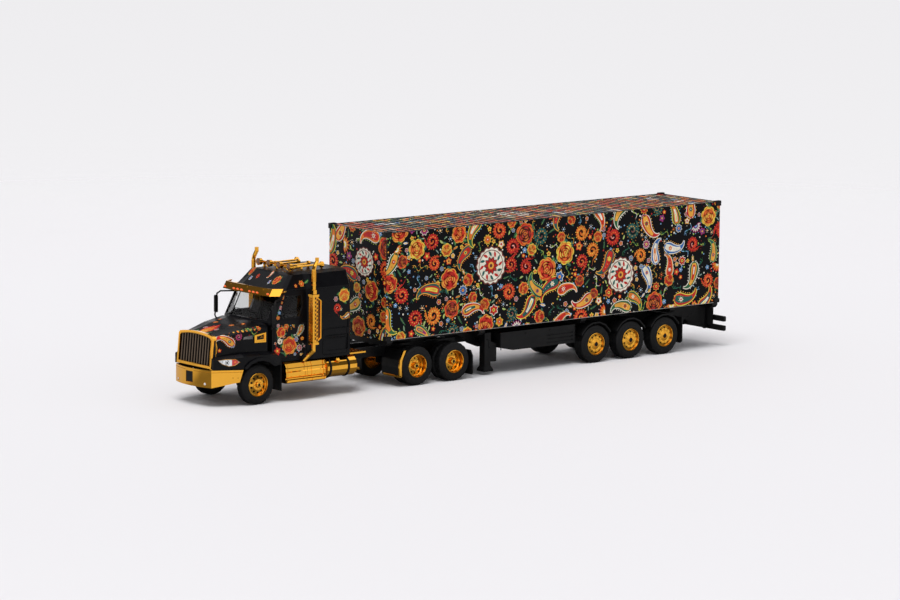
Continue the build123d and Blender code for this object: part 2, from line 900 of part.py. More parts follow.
# Door window, with its rear corner cut low as on the real door
window_outline_shares = [
    # share of the door's length from its front, share of the height from belt to eaves
    (0.26, 0.10),
    (0.22, 0.28),
    (0.34, 0.82),
    (0.86, 0.82),
    (0.86, 0.40),
    (0.76, 0.10),
]
recess_depth = 0.35
recess_front_setback = 35.0
recess_rear_setback = 45.6
recess_rows = [
    # base and top above the floor
    (1.6, 8.2),
    (10.6, 14.2),
]
groove = 0.25
door_base_lift = 0.8


def window_prism():
    length = door_front_x - door_rear_x
    base, rise = belt_height, cab_upper_height
    outline = [(door_front_x - u * length, base + v * rise) for u, v in window_outline_shares]
    return side_plate(outline, 0, sleeper_half_width + overrun)


def recesses():
    """Two pressed panels low on the sleeper's side."""
    x0, x1 = steer_x - recess_rear_setback, steer_x - recess_front_setback
    y0, y1 = sleeper_half_width - recess_depth, sleeper_half_width + overrun
    return [block(x0, x1, y0, y1, floor_height + low, floor_height + high) for low, high in recess_rows]


def door_groove():
    """The gap round the door, sunk into the wall below the belt."""
    z0, z1 = floor_base + door_base_lift, belt_height
    half = sleeper_half_width + overrun
    outer = block(door_rear_x, door_front_x, 0, half, z0, z1)
    x0, x1 = door_rear_x + groove, door_front_x - groove
    inner = block(x0, x1, -overrun, half + overrun, z0 + groove, z1 + overrun)
    skin = plan_plate(lower_plan(-overrun), floor_base, z1)
    return (outer - inner) & (skin - plan_plate(lower_plan(groove), floor_base - overrun, z1 + overrun))


def cab_side():
    """Door and sleeper wall on the left, from one bent panel."""
    walls = plan_plate(lower_plan(0), floor_base, belt_height)
    walls = walls - plan_plate(lower_plan(wall), floor_base - overrun, belt_height + overrun)
    upper = upper_shell - front_zone()
    body = fused(walls, upper) - front_panel - window_prism() - cab_rear_zone()
    for recess in recesses():
        body = body - recess
    half, rear = sleeper_half_width + overrun, sleeper_rear_x - overrun
    return body - block(rear, far, -half, 0, 0, eaves_height + overrun) - door_groove()


def cab_rear_zone():
    half = sleeper_half_width - sleeper_corner - wall
    x0, x1 = sleeper_rear_x - overrun, sleeper_rear_x + wall
    return block(x0, x1, -half, half, floor_base, eaves_height)


cab_hull = fused(plan_plate(lower_plan(0), floor_base, belt_height), upper_body(0))


def cab_rear_wall():
    """The flat rear wall between the rounded corners."""
    return cab_hull & cab_rear_zone()


write("cab_sides", *both_sides(cab_side()))
write("side_windows", *both_sides(glass_shell & window_prism()))
write("cab_rear_wall", cab_rear_wall())
write("cab_floor", plan_plate(lower_plan(wall), floor_base, floor_height))

# Roof: a raised shell, raked at the front and crowned on top
roof_flat_half = 8.0
roof_corner_half = 12.6
roof_shoulder_half = 13.8
roof_sleeper_half = 15.4
roof_crown_share = 0.72


def roof_ring(inset, crown_share, crown):
    """The roof's plan on its sloping top: narrower and higher towards the crown."""
    slope = (roof_rear_rise - roof_front_rise) / (roof_front_x - sleeper_rear_x)
    front = roof_front_x - inset - crown
    rear = sleeper_rear_x + inset
    half = [
        (front, roof_flat_half),
        (front - screen_bow / 2, roof_corner_half),
        (front - screen_bow, roof_shoulder_half),
        (door_rear_x - crown, roof_shoulder_half),
        (sleeper_front_x - crown, roof_sleeper_half),
        (rear + sleeper_corner, roof_sleeper_half),
        (rear, roof_sleeper_half - sleeper_corner),
    ]
    base = eaves_height + roof_front_rise + crown - inset
    ring = []
    for x, y in half:
        ring.append((x, (y - inset) * crown_share, base + (roof_front_x - x) * slope))
    return ring + [(x, -y, z) for x, y, z in ring[::-1]]


def roof_body(inset):
    past = overrun if inset else 0
    return skinned(
        [
            cab_ring(eaves_height - past, inset),
            roof_ring(inset, 1, 0),
            roof_ring(inset, roof_crown_share, roof_crown),
        ]
    )


def cab_roof():
    above = block(sleeper_rear_x - overrun, far, -nose_x, nose_x, eaves_height, 2 * eaves_height)
    return (roof_body(0) - roof_body(wall)) & above


write("cab_roof", cab_roof())

# Inside: dash and two seats on the floor
dash_depth = 4.5
dash_height = 3.2
seat_size = 6.4
seat_back_height = 16.0
seat_back_thickness = 1.8
seat_cushion_height = 5.6
seat_half_spacing = 7.6
seat_recline = 1.2


def dashboard():
    """A shelf on the firewall with a chamfered rear edge, under the scuttle."""
    x1 = cowl_x - wall
    z1 = belt_height - wall
    half = cowl_half_width - 2 * wall
    low, cut = z1 - dash_height, dash_height / 2
    x0 = x1 - dash_depth
    outline = [(x1, low), (x1, z1), (x0 + cut, z1), (x0, z1 - cut), (x0, low)]
    return side_plate(outline, -half, half)


def seat(y):
    """A cushion on its base and a raked back, seen from the side."""
    x0, z0 = door_rear_x, floor_height
    top = z0 + seat_back_height
    outline = [
        (x0 + seat_recline, z0),
        (x0 + seat_size, z0),
        (x0 + seat_size, z0 + seat_cushion_height),
        (x0 + seat_recline + seat_back_thickness, z0 + seat_cushion_height),
        (x0 + seat_back_thickness, top),
        (x0, top),
    ]
    return side_plate(outline, y - seat_size / 2, y + seat_size / 2)


write("dashboard", dashboard())
write("seats", seat(seat_half_spacing), seat(-seat_half_spacing))

# Sun visor over the screen, wrapped round to the doors
visor_front_lead = 5.2
visor_bow = 0.9
visor_drop = 1.7
visor_height = 2.9
visor_rake = 1.7
visor_corner_half = 15.7
visor_end_half = 18.0
visor_wrap = 3.8
visor_wall = 0.6
visor_shelf = 0.5
visor_base = eaves_height - visor_drop


def visor_half(inset, back):
    """Half of the visor's plan, from its flat middle to its wrapped end."""
    front = screen_x - screen_rake_run + visor_front_lead - back - inset
    return [
        (front, screen_flat_half),
        (front - visor_bow, visor_corner_half - inset / 2),
        (front - visor_bow - visor_wrap, visor_end_half - inset),
    ]


def visor_ring(back, height):
    outer = visor_half(0, back)
    inner = visor_half(visor_wall, back)
    outer = outer[::-1] + [(x, -y) for x, y in outer]
    inner = inner[::-1] + [(x, -y) for x, y in inner]
    return [(x, y, height) for x, y in outer + inner[::-1]]


def sun_visor():
    """The raked visor with the shelf that carries it on the header."""
    blade = skinned([visor_ring(0, visor_base), visor_ring(visor_rake, visor_base + visor_height)])
    half = visor_half(visor_wall / 2, visor_rake / 2)
    rear = (door_front_x - screen_rake_run, cowl_half_width)
    plan = half + [rear] + [(x, -y) for x, y in (half + [rear])[::-1]]
    shelf = plan_plate(plan, eaves_height - visor_shelf, eaves_height)
    return fused(blade, shelf - upper_body(-wall / 10))


write("sun_visor", sun_visor())

# Mirrors: a head on a looped arm at each front pillar
mirror_arm_radius = 0.35
mirror_reach = 2.9
mirror_setback = 0.5
mirror_lead = 3.6
mirror_head_width = 1.5
mirror_head_thickness = 0.9
mirror_head_height = 7.4
mirror_arm_height = 10.6
mirror_base_drop = 1.4


def door_mirror():
    """The arm's loop from the door's front edge, with the head on its upright."""
    root_x = door_front_x - mirror_setback
    outer_x = root_x + mirror_lead
    y0 = cowl_half_width - side_lean
    y1 = door_half_width + mirror_reach
    low = belt_height - mirror_base_drop
    high = low + mirror_arm_height
    bend = mirror_arm_radius * 3
    root_high_x = root_x - mirror_lead
    arm = bent_bar(
        [
            (root_x, y0, low),
            (outer_x, y1 - bend, low - bend / 2),
            (outer_x, y1, low + bend / 2),
            (outer_x - bend, y1, high - bend),
            (outer_x - 2 * bend, y1 - bend, high),
            (root_high_x, y0, high),
        ],
        mirror_arm_radius,
    )
    middle = (low + high) / 2
    half, side = mirror_head_height / 2, mirror_head_thickness / 2
    x = outer_x - bend / 2
    w = mirror_head_width / 2
    cut = mirror_head_width / 4
    outline = [
        (x - w, middle - half + cut),
        (x - w + cut, middle - half),
        (x + w, middle - half + cut),
        (x + w, middle + half - cut),
        (x + w - cut, middle + half),
        (x - w, middle + half - cut),
    ]
    head = side_plate(outline, y1 - side, y1 + side)
    return fused(arm, head) - cab_hull


write("mirrors", *both_sides(door_mirror()))

# Roof bar: a rail across the roof with four lamps, and four trumpets behind it
roof_bar_setback = 22.6
roof_bar_half_width = 11.6
roof_bar_radius = 0.4
roof_bar_lift = 2.2
roof_post_half = 8.6
roof_lamp_radius = 1.2
roof_lamp_length = 2.4
roof_lamp_count = 4
roof_lamp_pitch = 6.8
roof_lamp_sides = 8
horn_lead = 1.5
horn_radius = 1.1
horn_lift = 1.5
horn_foot_shares = (0.03, 0.7)
horn_rows = [
    # half spacing, length
    (8.4, 15.6),
    (3.4, 12.4),
]
foot_half = 0.4
lamp_shares = [
    # share of the radius, share of the length
    (0.4, 0),
    (0.8, 0.3),
    (1, 0.6),
    (1, 1),
]
horn_shares = [
    # share of the bell's radius, share of the length
    (1.1, 0),
    (1.1, 0.06),
    (0.45, 0.1),
    (0.3, 0.6),
    (0.5, 0.86),
    (1, 1),
]
roof_slope = (roof_rear_rise - roof_front_rise) / (roof_front_x - sleeper_rear_x)


def roof_top(x):
    """The height of the roof's flat crown."""
    return eaves_height + roof_front_rise + roof_crown + roof_slope * (roof_front_x - x)


def turned_shares(shares, radius, length, sides):
    """A round piece about Y from shares of one radius and one length."""
    return stepped([(r * radius, w * length) for r, w in shares], sides)


def roof_bar():
    """The rail on its two posts with four lamps that face forward."""
    x = steer_x - roof_bar_setback
    z = roof_top(x) + roof_bar_lift
    half, post, low = roof_bar_half_width, roof_post_half, roof_top(x) - wall / 2
    pieces = [bent_bar([(x, -half, z), (x, half, z)], roof_bar_radius)]
    for y in (-post, post):
        pieces.append(block(x - foot_half, x + foot_half, y - foot_half, y + foot_half, low, z))
    for k in range(roof_lamp_count):
        y = (k - (roof_lamp_count - 1) / 2) * roof_lamp_pitch
        lamp = along_x * turned_shares(lamp_shares, roof_lamp_radius, roof_lamp_length, roof_lamp_sides)
        pieces.append(Pos(x - roof_bar_radius, y, z) * lamp)
    return fused(*pieces) - roof_body(0)


def roof_horn(y, length):
    """A trumpet that lies along the roof on two feet."""
    x0 = steer_x - roof_bar_setback - horn_lead - length
    z = roof_top(x0) + horn_lift
    horn = along_x * turned_shares(horn_shares, horn_radius, length, roof_lamp_sides)
    pieces = [Pos(x0, y, z) * horn]
    for share in horn_foot_shares:
        x = x0 + share * length
        low, half = roof_top(x) - wall / 2, foot_half / 2
        pieces.append(block(x - foot_half, x + foot_half, y - half, y + half, low, z))
    return fused(*pieces) - roof_body(0)


horns = [roof_horn(y, length) for y, length in horn_rows]
write("roof_bar", roof_bar(), *both_sides(*horns))

# Step boxes: a fluted housing under the door with a ledge along its foot
box_front_setback = 12.9
box_length = 20.0
box_inner_half_width = 9.6
box_seam_share = 0.68
box_seam_width = 0.5
box_seam_proud = 0.2
box_end_wall = 0.8
box_section = [
    # half width, height above the ground
    (16.4, 16.2),
    (18.0, 15.5),
    (19.0, 13.9),
    (18.8, 13.5),
    (18.8, 12.4),
    (19.2, 12.0),
    (19.2, 10.2),
    (18.6, 9.5),
    (18.6, 9.1),
    (19.7, 8.9),
    (19.7, 8.0),
    (18.7, 7.5),
    (13.0, 7.5),
]
tank_arm_length = 1.6
box_front_x = steer_x - box_front_setback
box_rear_x = box_front_x - box_length
box_top = box_section[0][1]
box_base = box_section[-1][1]
tank_middle_height = (box_top + box_base) / 2


def box_outline(lead):
    """The housing's cross section, grown by a lead on its round outer side."""
    outer = [(y + lead, z) for y, z in box_section]
    return [(box_inner_half_width, box_top)] + outer + [(box_inner_half_width, box_base + 2 * wall)]


def carrier(x):
    """An arm from the rail to a tank or a box."""
    half = tank_arm_length / 2
    z0, z1 = tank_middle_height, tank_middle_height + tank_arm_length
    return block(x - half, x + half, rail_half_width, box_inner_half_width + half, z0, z1)


def step_box():
    seam = box_front_x - box_seam_share * box_length
    pieces = [
        cross_plate(box_outline(0), box_rear_x, box_front_x),
        cross_plate(box_outline(box_seam_proud), seam, seam + box_seam_width),
        cross_plate(box_outline(box_seam_proud), box_rear_x, box_rear_x + box_end_wall),
        carrier((box_front_x + box_rear_x) / 2),
    ]
    return fused(*pieces)


write("step_boxes", *both_sides(step_box()))

# Exhaust stacks: a boxed muffler with an elbow below, a pipe with a curved tip, and a rail beside it
stack_setback = 25.9
muffler_half_length = 1.35
muffler_half_width = 1.8
muffler_chamfer = 0.45
muffler_base_lift = 5.5
muffler_length = 20.7
muffler_cap = 0.9
muffler_cap_lead = 0.25
stack_pipe_radius = 0.85
stack_pipe_sides = 8
stack_straight = 10.2
stack_tip_run = 1.6
stack_tip_height = 4.8
stack_rail_radius = 0.35
stack_rail_reach = 0.9
stack_elbow = 1.6
stack_foot = 0.8
stack_x = steer_x - stack_setback
stack_y = sleeper_half_width + wall / 5 + muffler_half_width
muffler_base = floor_height + muffler_base_lift
muffler_top = muffler_base + muffler_length


def muffler_box(lead, z0, z1):
    """An upright box with chamfered corners round the stack's axis."""
    a, b, cut = muffler_half_length + lead, muffler_half_width + lead, muffler_chamfer
    outline = [(a, b - cut), (a - cut, b), (cut - a, b), (-a, b - cut)]
    outline = outline + [(-x, -y) for x, y in outline]
    return Pos(stack_x, stack_y, 0) * plan_plate(outline, z0, z1)


def stack():
    """The whole left stack, as one piece."""
    x, y = stack_x, stack_y
    tip = muffler_top + stack_straight
    low = muffler_base - muffler_base_lift / 2
    rail_x = x - muffler_half_length - stack_rail_reach
    rail_y = y + muffler_half_width
    corner = stack_rail_reach * 2
    pipe = bent_bar(
        [
            (x + 2 * stack_elbow, y - stack_elbow - stack_foot, low - 2 * stack_elbow - stack_foot),
            (x + stack_elbow, y - stack_elbow / 2, low - stack_elbow),
            (x, y, low),
            (x, y, tip),
            (x - stack_tip_run / 4, y, tip + stack_tip_height / 4),
            (x - stack_tip_run, y, tip + 2 * stack_tip_height / 3),
            (x - stack_tip_run, y, tip + stack_tip_height),
        ],
        stack_pipe_radius,
        stack_pipe_sides,
    )
    rail = bent_bar(
        [
            (x, rail_y - muffler_chamfer, muffler_top - muffler_cap),
            (rail_x, rail_y, muffler_top - muffler_cap - corner),
            (rail_x, rail_y, muffler_base + muffler_cap + corner),
            (x, rail_y - muffler_chamfer, muffler_base + muffler_cap),
        ],
        stack_rail_radius,
    )
    body = muffler_box(0, muffler_base, muffler_top)
    caps = [
        muffler_box(muffler_cap_lead, muffler_base, muffler_base + muffler_cap),
        muffler_box(muffler_cap_lead, muffler_top - muffler_cap, muffler_top),
        muffler_box(-muffler_chamfer, muffler_top - muffler_cap, muffler_top + 2 * muffler_cap),
    ]
    low, high = muffler_base - wall, muffler_top + wall
    inner = block(x - 2 * wall, x + 2 * wall, 0, sleeper_half_width + wall / 10, low, high)
    return fused(pipe, body, *caps, rail) - inner - step_box()


write("exhaust_stacks", *both_sides(stack()))

# Round fuel tanks behind the boxes, each with two straps, a filler cap and a drawn-in end
tank_radius = 4.2
tank_half_width = 19.0
tank_sides = 16
tank_length = 16.8
tank_gap = 0.9
tank_end_share = 0.72
tank_end_depth = 0.7
tank_cap_radius = 0.95
tank_cap_height = 0.8
tank_cap_share = 0.38
tank_cap_tilt = -50
strap_width = 0.8
strap_thickness = 0.3
strap_shares = (0.12, 0.68)
tank_y = tank_half_width - tank_radius
tank_z = box_base + tank_radius
tank_front_x = box_rear_x - tank_gap
tank_rear_x = tank_front_x - tank_length


def tank_round(radius, x0, x1):
    """A round slab about the tank's axis between two stations."""
    return Pos(0, tank_y, tank_z) * (along_x * stepped([(radius, x0), (radius, x1)], tank_sides))


def fuel_tank():
    end = tank_end_share * tank_radius
    stations = [
        (end, tank_rear_x),
        (tank_radius, tank_rear_x + tank_end_depth),
        (tank_radius, tank_front_x - tank_end_depth),
        (end, tank_front_x),
    ]
    body = Pos(0, tank_y, tank_z) * (along_x * stepped(stations, tank_sides))
    arm = carrier((tank_front_x + tank_rear_x) / 2)
    ends = (box_rear_x, tank_front_x - tank_gap)
    neck = along_x * stepped([(tank_cap_radius, x) for x in ends], roof_lamp_sides)
    join = Pos(0, tank_y, tank_z) * neck
    x = tank_front_x - tank_cap_share * tank_length
    low, high = tank_radius - tank_cap_height, tank_radius + tank_cap_height
    cap = along_z * stepped([(tank_cap_radius, low), (tank_cap_radius, high)], roof_lamp_sides)
    return fused(body, arm, join, Pos(x, tank_y, tank_z) * Rot(tank_cap_tilt, 0, 0) * cap)


def tank_strap(share):
    """A flat band round the tank."""
    x1 = tank_front_x - share * tank_length
    x0 = x1 - strap_width
    band = tank_round(tank_radius + strap_thickness, x0, x1)
    band = band - tank_round(tank_radius, x0 - overrun, x1 + overrun)
    return band - carrier((tank_front_x + tank_rear_x) / 2)


write("fuel_tanks", *both_sides(fuel_tank()))
write("tank_straps", *both_sides(*[tank_strap(share) for share in strap_shares]))

# Deck plates on the rails behind the sleeper, each with a narrow lip forward
deck_front_gap = 2.4
deck_length = 6.4
deck_thickness = 0.6
deck_half_width = 16.6
deck_lip_width = 0.8
deck_front_x = sleeper_rear_x - deck_front_gap
deck_rear_x = deck_front_x - deck_length


def deck_plate():
    inner, outer = rail_inner, deck_half_width
    lip = outer - deck_lip_width
    outline = [
        (deck_rear_x, inner),
        (deck_front_x, inner),
        (deck_front_x, lip),
        (sleeper_rear_x, lip),
        (sleeper_rear_x, outer),
        (deck_rear_x, outer),
    ]
    return plan_plate(outline, rail_top_height, rail_top_height + deck_thickness)


write("deck_plates", *both_sides(deck_plate()))

# Mudflaps behind the steer and drive wheels
flap_thickness = 0.6
steer_flap_base = 4.6
drive_flap_base = 1.8
drive_flap_top = 12.4
drive_flap_bend = 9.8
drive_flap_gap = 1.2
drive_flap_slant = 1.2
drive_flap_x = drive_axles_x[1] - tyre_radius - drive_flap_gap
flap_inner = drive_half_track - 2 * twin_tyre_width - twin_tyre_gap


def steer_flap():
    """A flap hung on the fender's rear edge."""
    x1 = fender_rear_x
    x0 = x1 - flap_thickness
    return block(x0, x1, fender_inner_half_width, steer_half_track, steer_flap_base, floor_base)


def drive_flap():
    """A flap that leans over the last drive wheel, on an arm from the rail."""
    x, t = drive_flap_x, flap_thickness
    outline = [
        (x, drive_flap_base),
        (x, drive_flap_bend),
        (x + drive_flap_slant, drive_flap_top),
        (x + drive_flap_slant - t, drive_flap_top),
        (x - t, drive_flap_bend),
        (x - t, drive_flap_base),
    ]
    flap = side_plate(outline, flap_inner, drive_half_track)
    x0 = x + drive_flap_slant - t
    arm = block(x0 - t, x0, rail_half_width, flap_inner + 2 * t, drive_flap_top - 2 * t, drive_flap_top)
    return fused(flap, arm)


write("tractor_mudflaps", *both_sides(steer_flap(), drive_flap()))

# Quarter fenders: bent shields ahead of the first drive wheels, with a bright outer edge
quarter_thickness = 0.6
quarter_gap = 0.6
quarter_edge_width = 0.8
quarter_edge_proud = 0.3
quarter_half_width = 18.2
quarter_turns = [
    # run ahead of the tyre's front, height above the ground
    (-2.0, 15.4),
    (0.0, 11.4),
    (0.3, 8.2),
    (0.1, 4.4),
]


def quarter_band(lead, y0, y1):
    """The shield's bent section, grown by a lead on both faces."""
    x = drive_axles_x[0] + tyre_radius + quarter_gap
    back = [(x + run - lead, z) for run, z in quarter_turns]
    front = [(x + run + quarter_thickness + lead, z) for run, z in quarter_turns]
    return side_plate(back + front[::-1], y0, y1)


def quarter_edge():
    y1 = quarter_half_width + quarter_edge_width
    return quarter_band(quarter_edge_proud, quarter_half_width, y1)


write("quarter_fenders", *both_sides(quarter_band(0, rail_half_width, quarter_half_width)))
write("quarter_edges", *both_sides(quarter_edge()))

# Trailer chassis: gooseneck beams, deep main beams, tapered tail
rubbing_plate_length = 16.0
rubbing_plate_half_width = 7.6
rubbing_plate_thickness = 0.8
beam_knee_setback = 54.5
beam_knee_height = 13.2
beam_low_setback = 60.0
beam_base = 11.1
tail_slope_length = 12.0
bolster_length = 3.0
bolster_half_width = 18.6
bolster_depth = 2.4
bolster_chamfer = 1.2
neck_base = deck_height - neck_depth
neck_rear_x = container_front_x - neck_rear_setback
beam_knee_x = container_front_x - beam_knee_setback
beam_low_x = container_front_x - beam_low_setback
tail_slope_x = container_rear_x + tail_slope_length
beam_inner = chassis_half_width - beam_thickness
tail_reach_x = container_rear_x - rear_overhang


def beam_bar(points):
    """One upright side beam with the given outline, and its mirror image."""
    return both_sides(side_plate(points, beam_inner, chassis_half_width))


def bolster(x):
    """A crossbar under the container, as wide as its bottom rails, with cut-back lower ends."""
    half, low, cut = bolster_half_width, deck_height - bolster_depth, bolster_chamfer
    outline = [
        (-half, deck_height),
        (-half, low + cut),
        (-half + cut, low),
        (half - cut, low),
        (half, low + cut),
        (half, deck_height),
    ]
    return cross_plate(outline, x, x + bolster_length)


def trailer_neck():
    """The gooseneck over the fifth wheel, with the rubbing plate and the kingpin."""
    neck_front_x = container_front_x - wall
    pieces = beam_bar(
        [
            (neck_front_x, deck_height),
            (neck_front_x, neck_base),
            (neck_rear_x, neck_base),
            (neck_rear_x, deck_height),
        ]
    )
    pieces.append(bolster(neck_front_x - bolster_length))
    front = kingpin_x + rubbing_plate_length / 2
    rear = kingpin_x - rubbing_plate_length / 2
    half = rubbing_plate_half_width
    plate_top = neck_base + rubbing_plate_thickness
    pieces.append(block(rear, front, -half, half, neck_base, plate_top))
    pieces.append(rod_z(kingpin_x, 0, kingpin_radius, neck_base - kingpin_drop, plate_top))
    return fused(*pieces)


def trailer_chassis():
    """The deep main beams with their crossbars and the hangers for the axle pins."""
    pieces = beam_bar(
        [
            (neck_rear_x, deck_height),
            (neck_rear_x, neck_base),
            (beam_knee_x, beam_knee_height),
            (beam_low_x, beam_base),
            (tail_slope_x, beam_base),
            (container_rear_x - wall, neck_base),
            (container_rear_x - wall, deck_height),
        ]
    )
    bolsters = [
        beam_knee_x,
        trailer_axles_x[0] + 2 * bolster_length,
        trailer_axles_x[2] - 2 * bolster_length,
        container_rear_x,
    ]
    pieces.extend(bolster(x) for x in bolsters)
    for x in trailer_axles_x:
        pieces.extend(both_sides(hanger(x, beam_inner, chassis_half_width, beam_base + wall / 2)))
    return fused(*pieces)


write("trailer_neck", trailer_neck())
write("trailer_chassis", trailer_chassis())

# Landing legs: a tapering column with a flared foot and a gearbox at its rear
leg_setback = 59.2
leg_half = 1.7
leg_y = 13.4
foot_half_size = 2.5
foot_base = 1.4
foot_plate = 0.8
foot_flare = 1.6
gearbox_length = 3.2
gearbox_base = 5.4
gearbox_height = 7.6
gearbox_slope = 1.2
leg_x = container_front_x - leg_setback


def square_ring(half, height):
    x, y = leg_x, leg_y
    corners = ((1, 1), (-1, 1), (-1, -1), (1, -1))
    return [(x + u * half, y + v * half, height) for u, v in corners]


def landing_leg():
    """The left leg with its stay to the beam."""
    top = deck_height - bolster_depth
    base = foot_base
    column = skinned(
        [
            square_ring(foot_half_size, base),
            square_ring(foot_half_size, base + foot_plate),
            square_ring(leg_half, base + foot_plate + foot_flare),
            square_ring(leg_half, top),
        ]
    )
    x0, x1 = leg_x - leg_half - gearbox_length, leg_x
    z0, z1 = gearbox_base, gearbox_base + gearbox_height
    outline = [(x1, z0), (x1, z1 + gearbox_slope), (leg_x - leg_half, z1 + gearbox_slope), (x0, z1), (x0, z0)]
    gearbox = side_plate(outline, leg_y - leg_half / 2, leg_y + leg_half)
    half = leg_half / 2
    low, high = beam_knee_height, beam_knee_height + leg_half
    stay = block(leg_x - half, leg_x + half, chassis_half_width, leg_y, low, high)
    return fused(column, gearbox, stay)


write("landing_legs", *both_sides(landing_leg()))

# Mudguards over the trailer wheels
guard_gap = 0.9
guard_thickness = 0.6
guard_sides = 16
guard_radius = tyre_radius + guard_gap
guard_inner = trailer_half_track - wide_tyre_width
guard_half_width = trailer_half_track
guard_low_share = 0.5


def round_slab(x, radius, y0, y1):
    """A round slab about one wheel's axis between two half widths."""
    return Pos(x, 0, tyre_radius) * stepped([(radius, y0), (radius, y1)], guard_sides)


def mudguard(x):
    """An arched sheet over one wheel with its stay from the beam."""
    outer = round_slab(x, guard_radius + guard_thickness, guard_inner, guard_half_width)
    inner = round_slab(x, guard_radius, guard_inner - overrun, guard_half_width + overrun)
    reach = 2 * guard_radius
    low_height = tyre_radius + guard_low_share * guard_radius
    lower = block(x - reach, x + reach, 0, guard_half_width + overrun, -reach, low_height)
    half = guard_thickness
    z = tyre_radius + guard_radius
    stay = block(x - half, x + half, chassis_half_width, guard_inner + half, z - half, z + half)
    return fused(outer - inner - lower, stay - inner)


guards = fused(*[mudguard(x) for x in trailer_axles_x])
write("trailer_mudguards", *both_sides(guards))

# Side boxes between the legs and the first trailer wheel, slatted at the rear
side_box_front_setback = 64.6
side_box_slope_length = 7.2
side_box_front_height = 11.2
side_box_base = 9.7
side_box_half_width = 17.0
side_box_gap = 1.2
slat_share = 0.62
slat_count = 3
slat_height = 0.7
slat_pitch = 1.6
slat_depth = 0.35
slat_base_lift = 1.2
slat_margin = 1.4
side_box_top = deck_height - bolster_depth - seat_gap
side_box_front_x = container_front_x - side_box_front_setback
side_box_rear_x = trailer_axles_x[0] + guard_radius + guard_thickness + side_box_gap


def side_box():
    """A box on the beam whose floor slopes up at the front, with three slots in its outer face."""
    x0, x1 = side_box_rear_x, side_box_front_x
    outline = [
        (x0, side_box_top),
        (x0, side_box_base),
        (x1 - side_box_slope_length, side_box_base),
        (x1, side_box_front_height),
        (x1, side_box_top),
    ]
    body = side_plate(outline, chassis_half_width, side_box_half_width)
    slot_front = x1 - slat_share * (x1 - x0)
    for k in range(slat_count):
        z = side_box_base + slat_base_lift + k * slat_pitch
        y0 = side_box_half_width - slat_depth
        y1 = side_box_half_width + overrun
        body = body - block(x0 + slat_margin, slot_front, y0, y1, z, z + slat_height)
    return body


write("side_boxes", *both_sides(side_box()))

# Rear: flaps behind the last wheels, a lamp bar and an underrun bar on two arms
rear_flap_base = 4.0
rear_flap_top = 15.6
bar_gap = 4.2
bar_height = 8.2
bar_depth = 2.4
bar_thickness = 1.4
bar_chamfer = 0.4
bar_half_width = 18.6
lamp_bar_height = bar_height + bar_gap
rear_flap_x = trailer_axles_x[2] - guard_radius - guard_gap - flap_thickness
arm_thickness = 2 * bar_thickness


def cross_bar(z):
    """A bar across the rear with chamfered edges."""
    x0, x1, half, cut = tail_reach_x, tail_reach_x + bar_thickness, bar_depth / 2, bar_chamfer
    outline = [
        (x1, z - half),
        (x1, z + half),
        (x0 + cut, z + half),
        (x0, z + half - cut),
        (x0, z - half + cut),
        (x0 + cut, z - half),
    ]
    return side_plate(outline, -bar_half_width, bar_half_width)


def rear_bars():
    x0 = tail_reach_x
    pieces = [cross_bar(bar_height), cross_bar(lamp_bar_height)]
    for side in (1, -1):
        y0, y1 = sorted((side * beam_inner, side * chassis_half_width))
        pieces.append(block(x0, x0 + arm_thickness, y0, y1, bar_height - bar_depth / 2, neck_base))
        pieces.append(block(x0, container_rear_x - wall, y0, y1, neck_base, neck_base + bar_thickness))
    return fused(*pieces)


def rear_flap():
    """A flap with cut lower corners, hung beside the beam."""
    cut = wall
    outline = [
        (chassis_half_width, rear_flap_top),
        (trailer_half_track, rear_flap_top),
        (trailer_half_track, rear_flap_base + cut),
        (trailer_half_track - cut, rear_flap_base),
        (guard_inner, rear_flap_base),
        (guard_inner, rear_flap_top - 2 * wall),
        (chassis_half_width, rear_flap_top - 2 * wall),
    ]
    return cross_plate(outline, rear_flap_x, rear_flap_x + flap_thickness)


write("rear_bars", rear_bars())
write("trailer_mudflaps", *both_sides(rear_flap()))

# Container: floor and frame, walls, ribbed roof and doors, hollow inside
casting_length = 2.8
casting_width = 2.5
casting_height = 1.85
casting_slot_length = 2.1
casting_slot_width = 1.3
casting_slot_spacing_x = 187.27
casting_slot_spacing_y = 35.3
casting_pocket_depth = 0.5
casting_pocket_share = 0.55
inner_half = container_half_width - panel
casting_inner = container_half_width - casting_width
container_base = deck_height
inside_front_x = container_front_x - panel
inside_rear_x = container_rear_x + panel
container_ends = [(container_front_x, 1), (container_rear_x, -1)]
casting_bases = [container_base, container_top_height - casting_height]


def casting(x_out, sense, y_side, z0):
    """One corner block, flush with the container's outside."""
    x0, x1 = sorted((x_out, x_out - sense * casting_length))
    y0, y1 = sorted((y_side * casting_inner, y_side * container_half_width))
    return block(x0, x1, y0, y1, z0, z0 + casting_height)


def casting_pocket(x_out, sense, y_side, z0):
    """The lashing holes in a corner block's side and end, six-sided and shallow."""
    z = z0 + casting_height / 2
    high = casting_pocket_share * casting_height / 2
    x = x_out - sense * casting_length / 2
    y = y_side * (container_half_width - casting_width / 2)
    wide = casting_pocket_share * casting_length / 2
    reach = (container_half_width - casting_pocket_depth, container_half_width + overrun)
    y0, y1 = sorted(y_side * y for y in reach)
    side = [(-wide, 0), (-high, high), (high, high), (wide, 0), (high, -high), (-high, -high)]
    flank = side_plate([(x + u, z + v) for u, v in side], y0, y1)
    x0, x1 = sorted((x_out - sense * casting_pocket_depth, x_out + sense * overrun))
    end = cross_plate([(y + u * casting_width / casting_length, z + v) for u, v in side], x0, x1)
    return [flank, end]


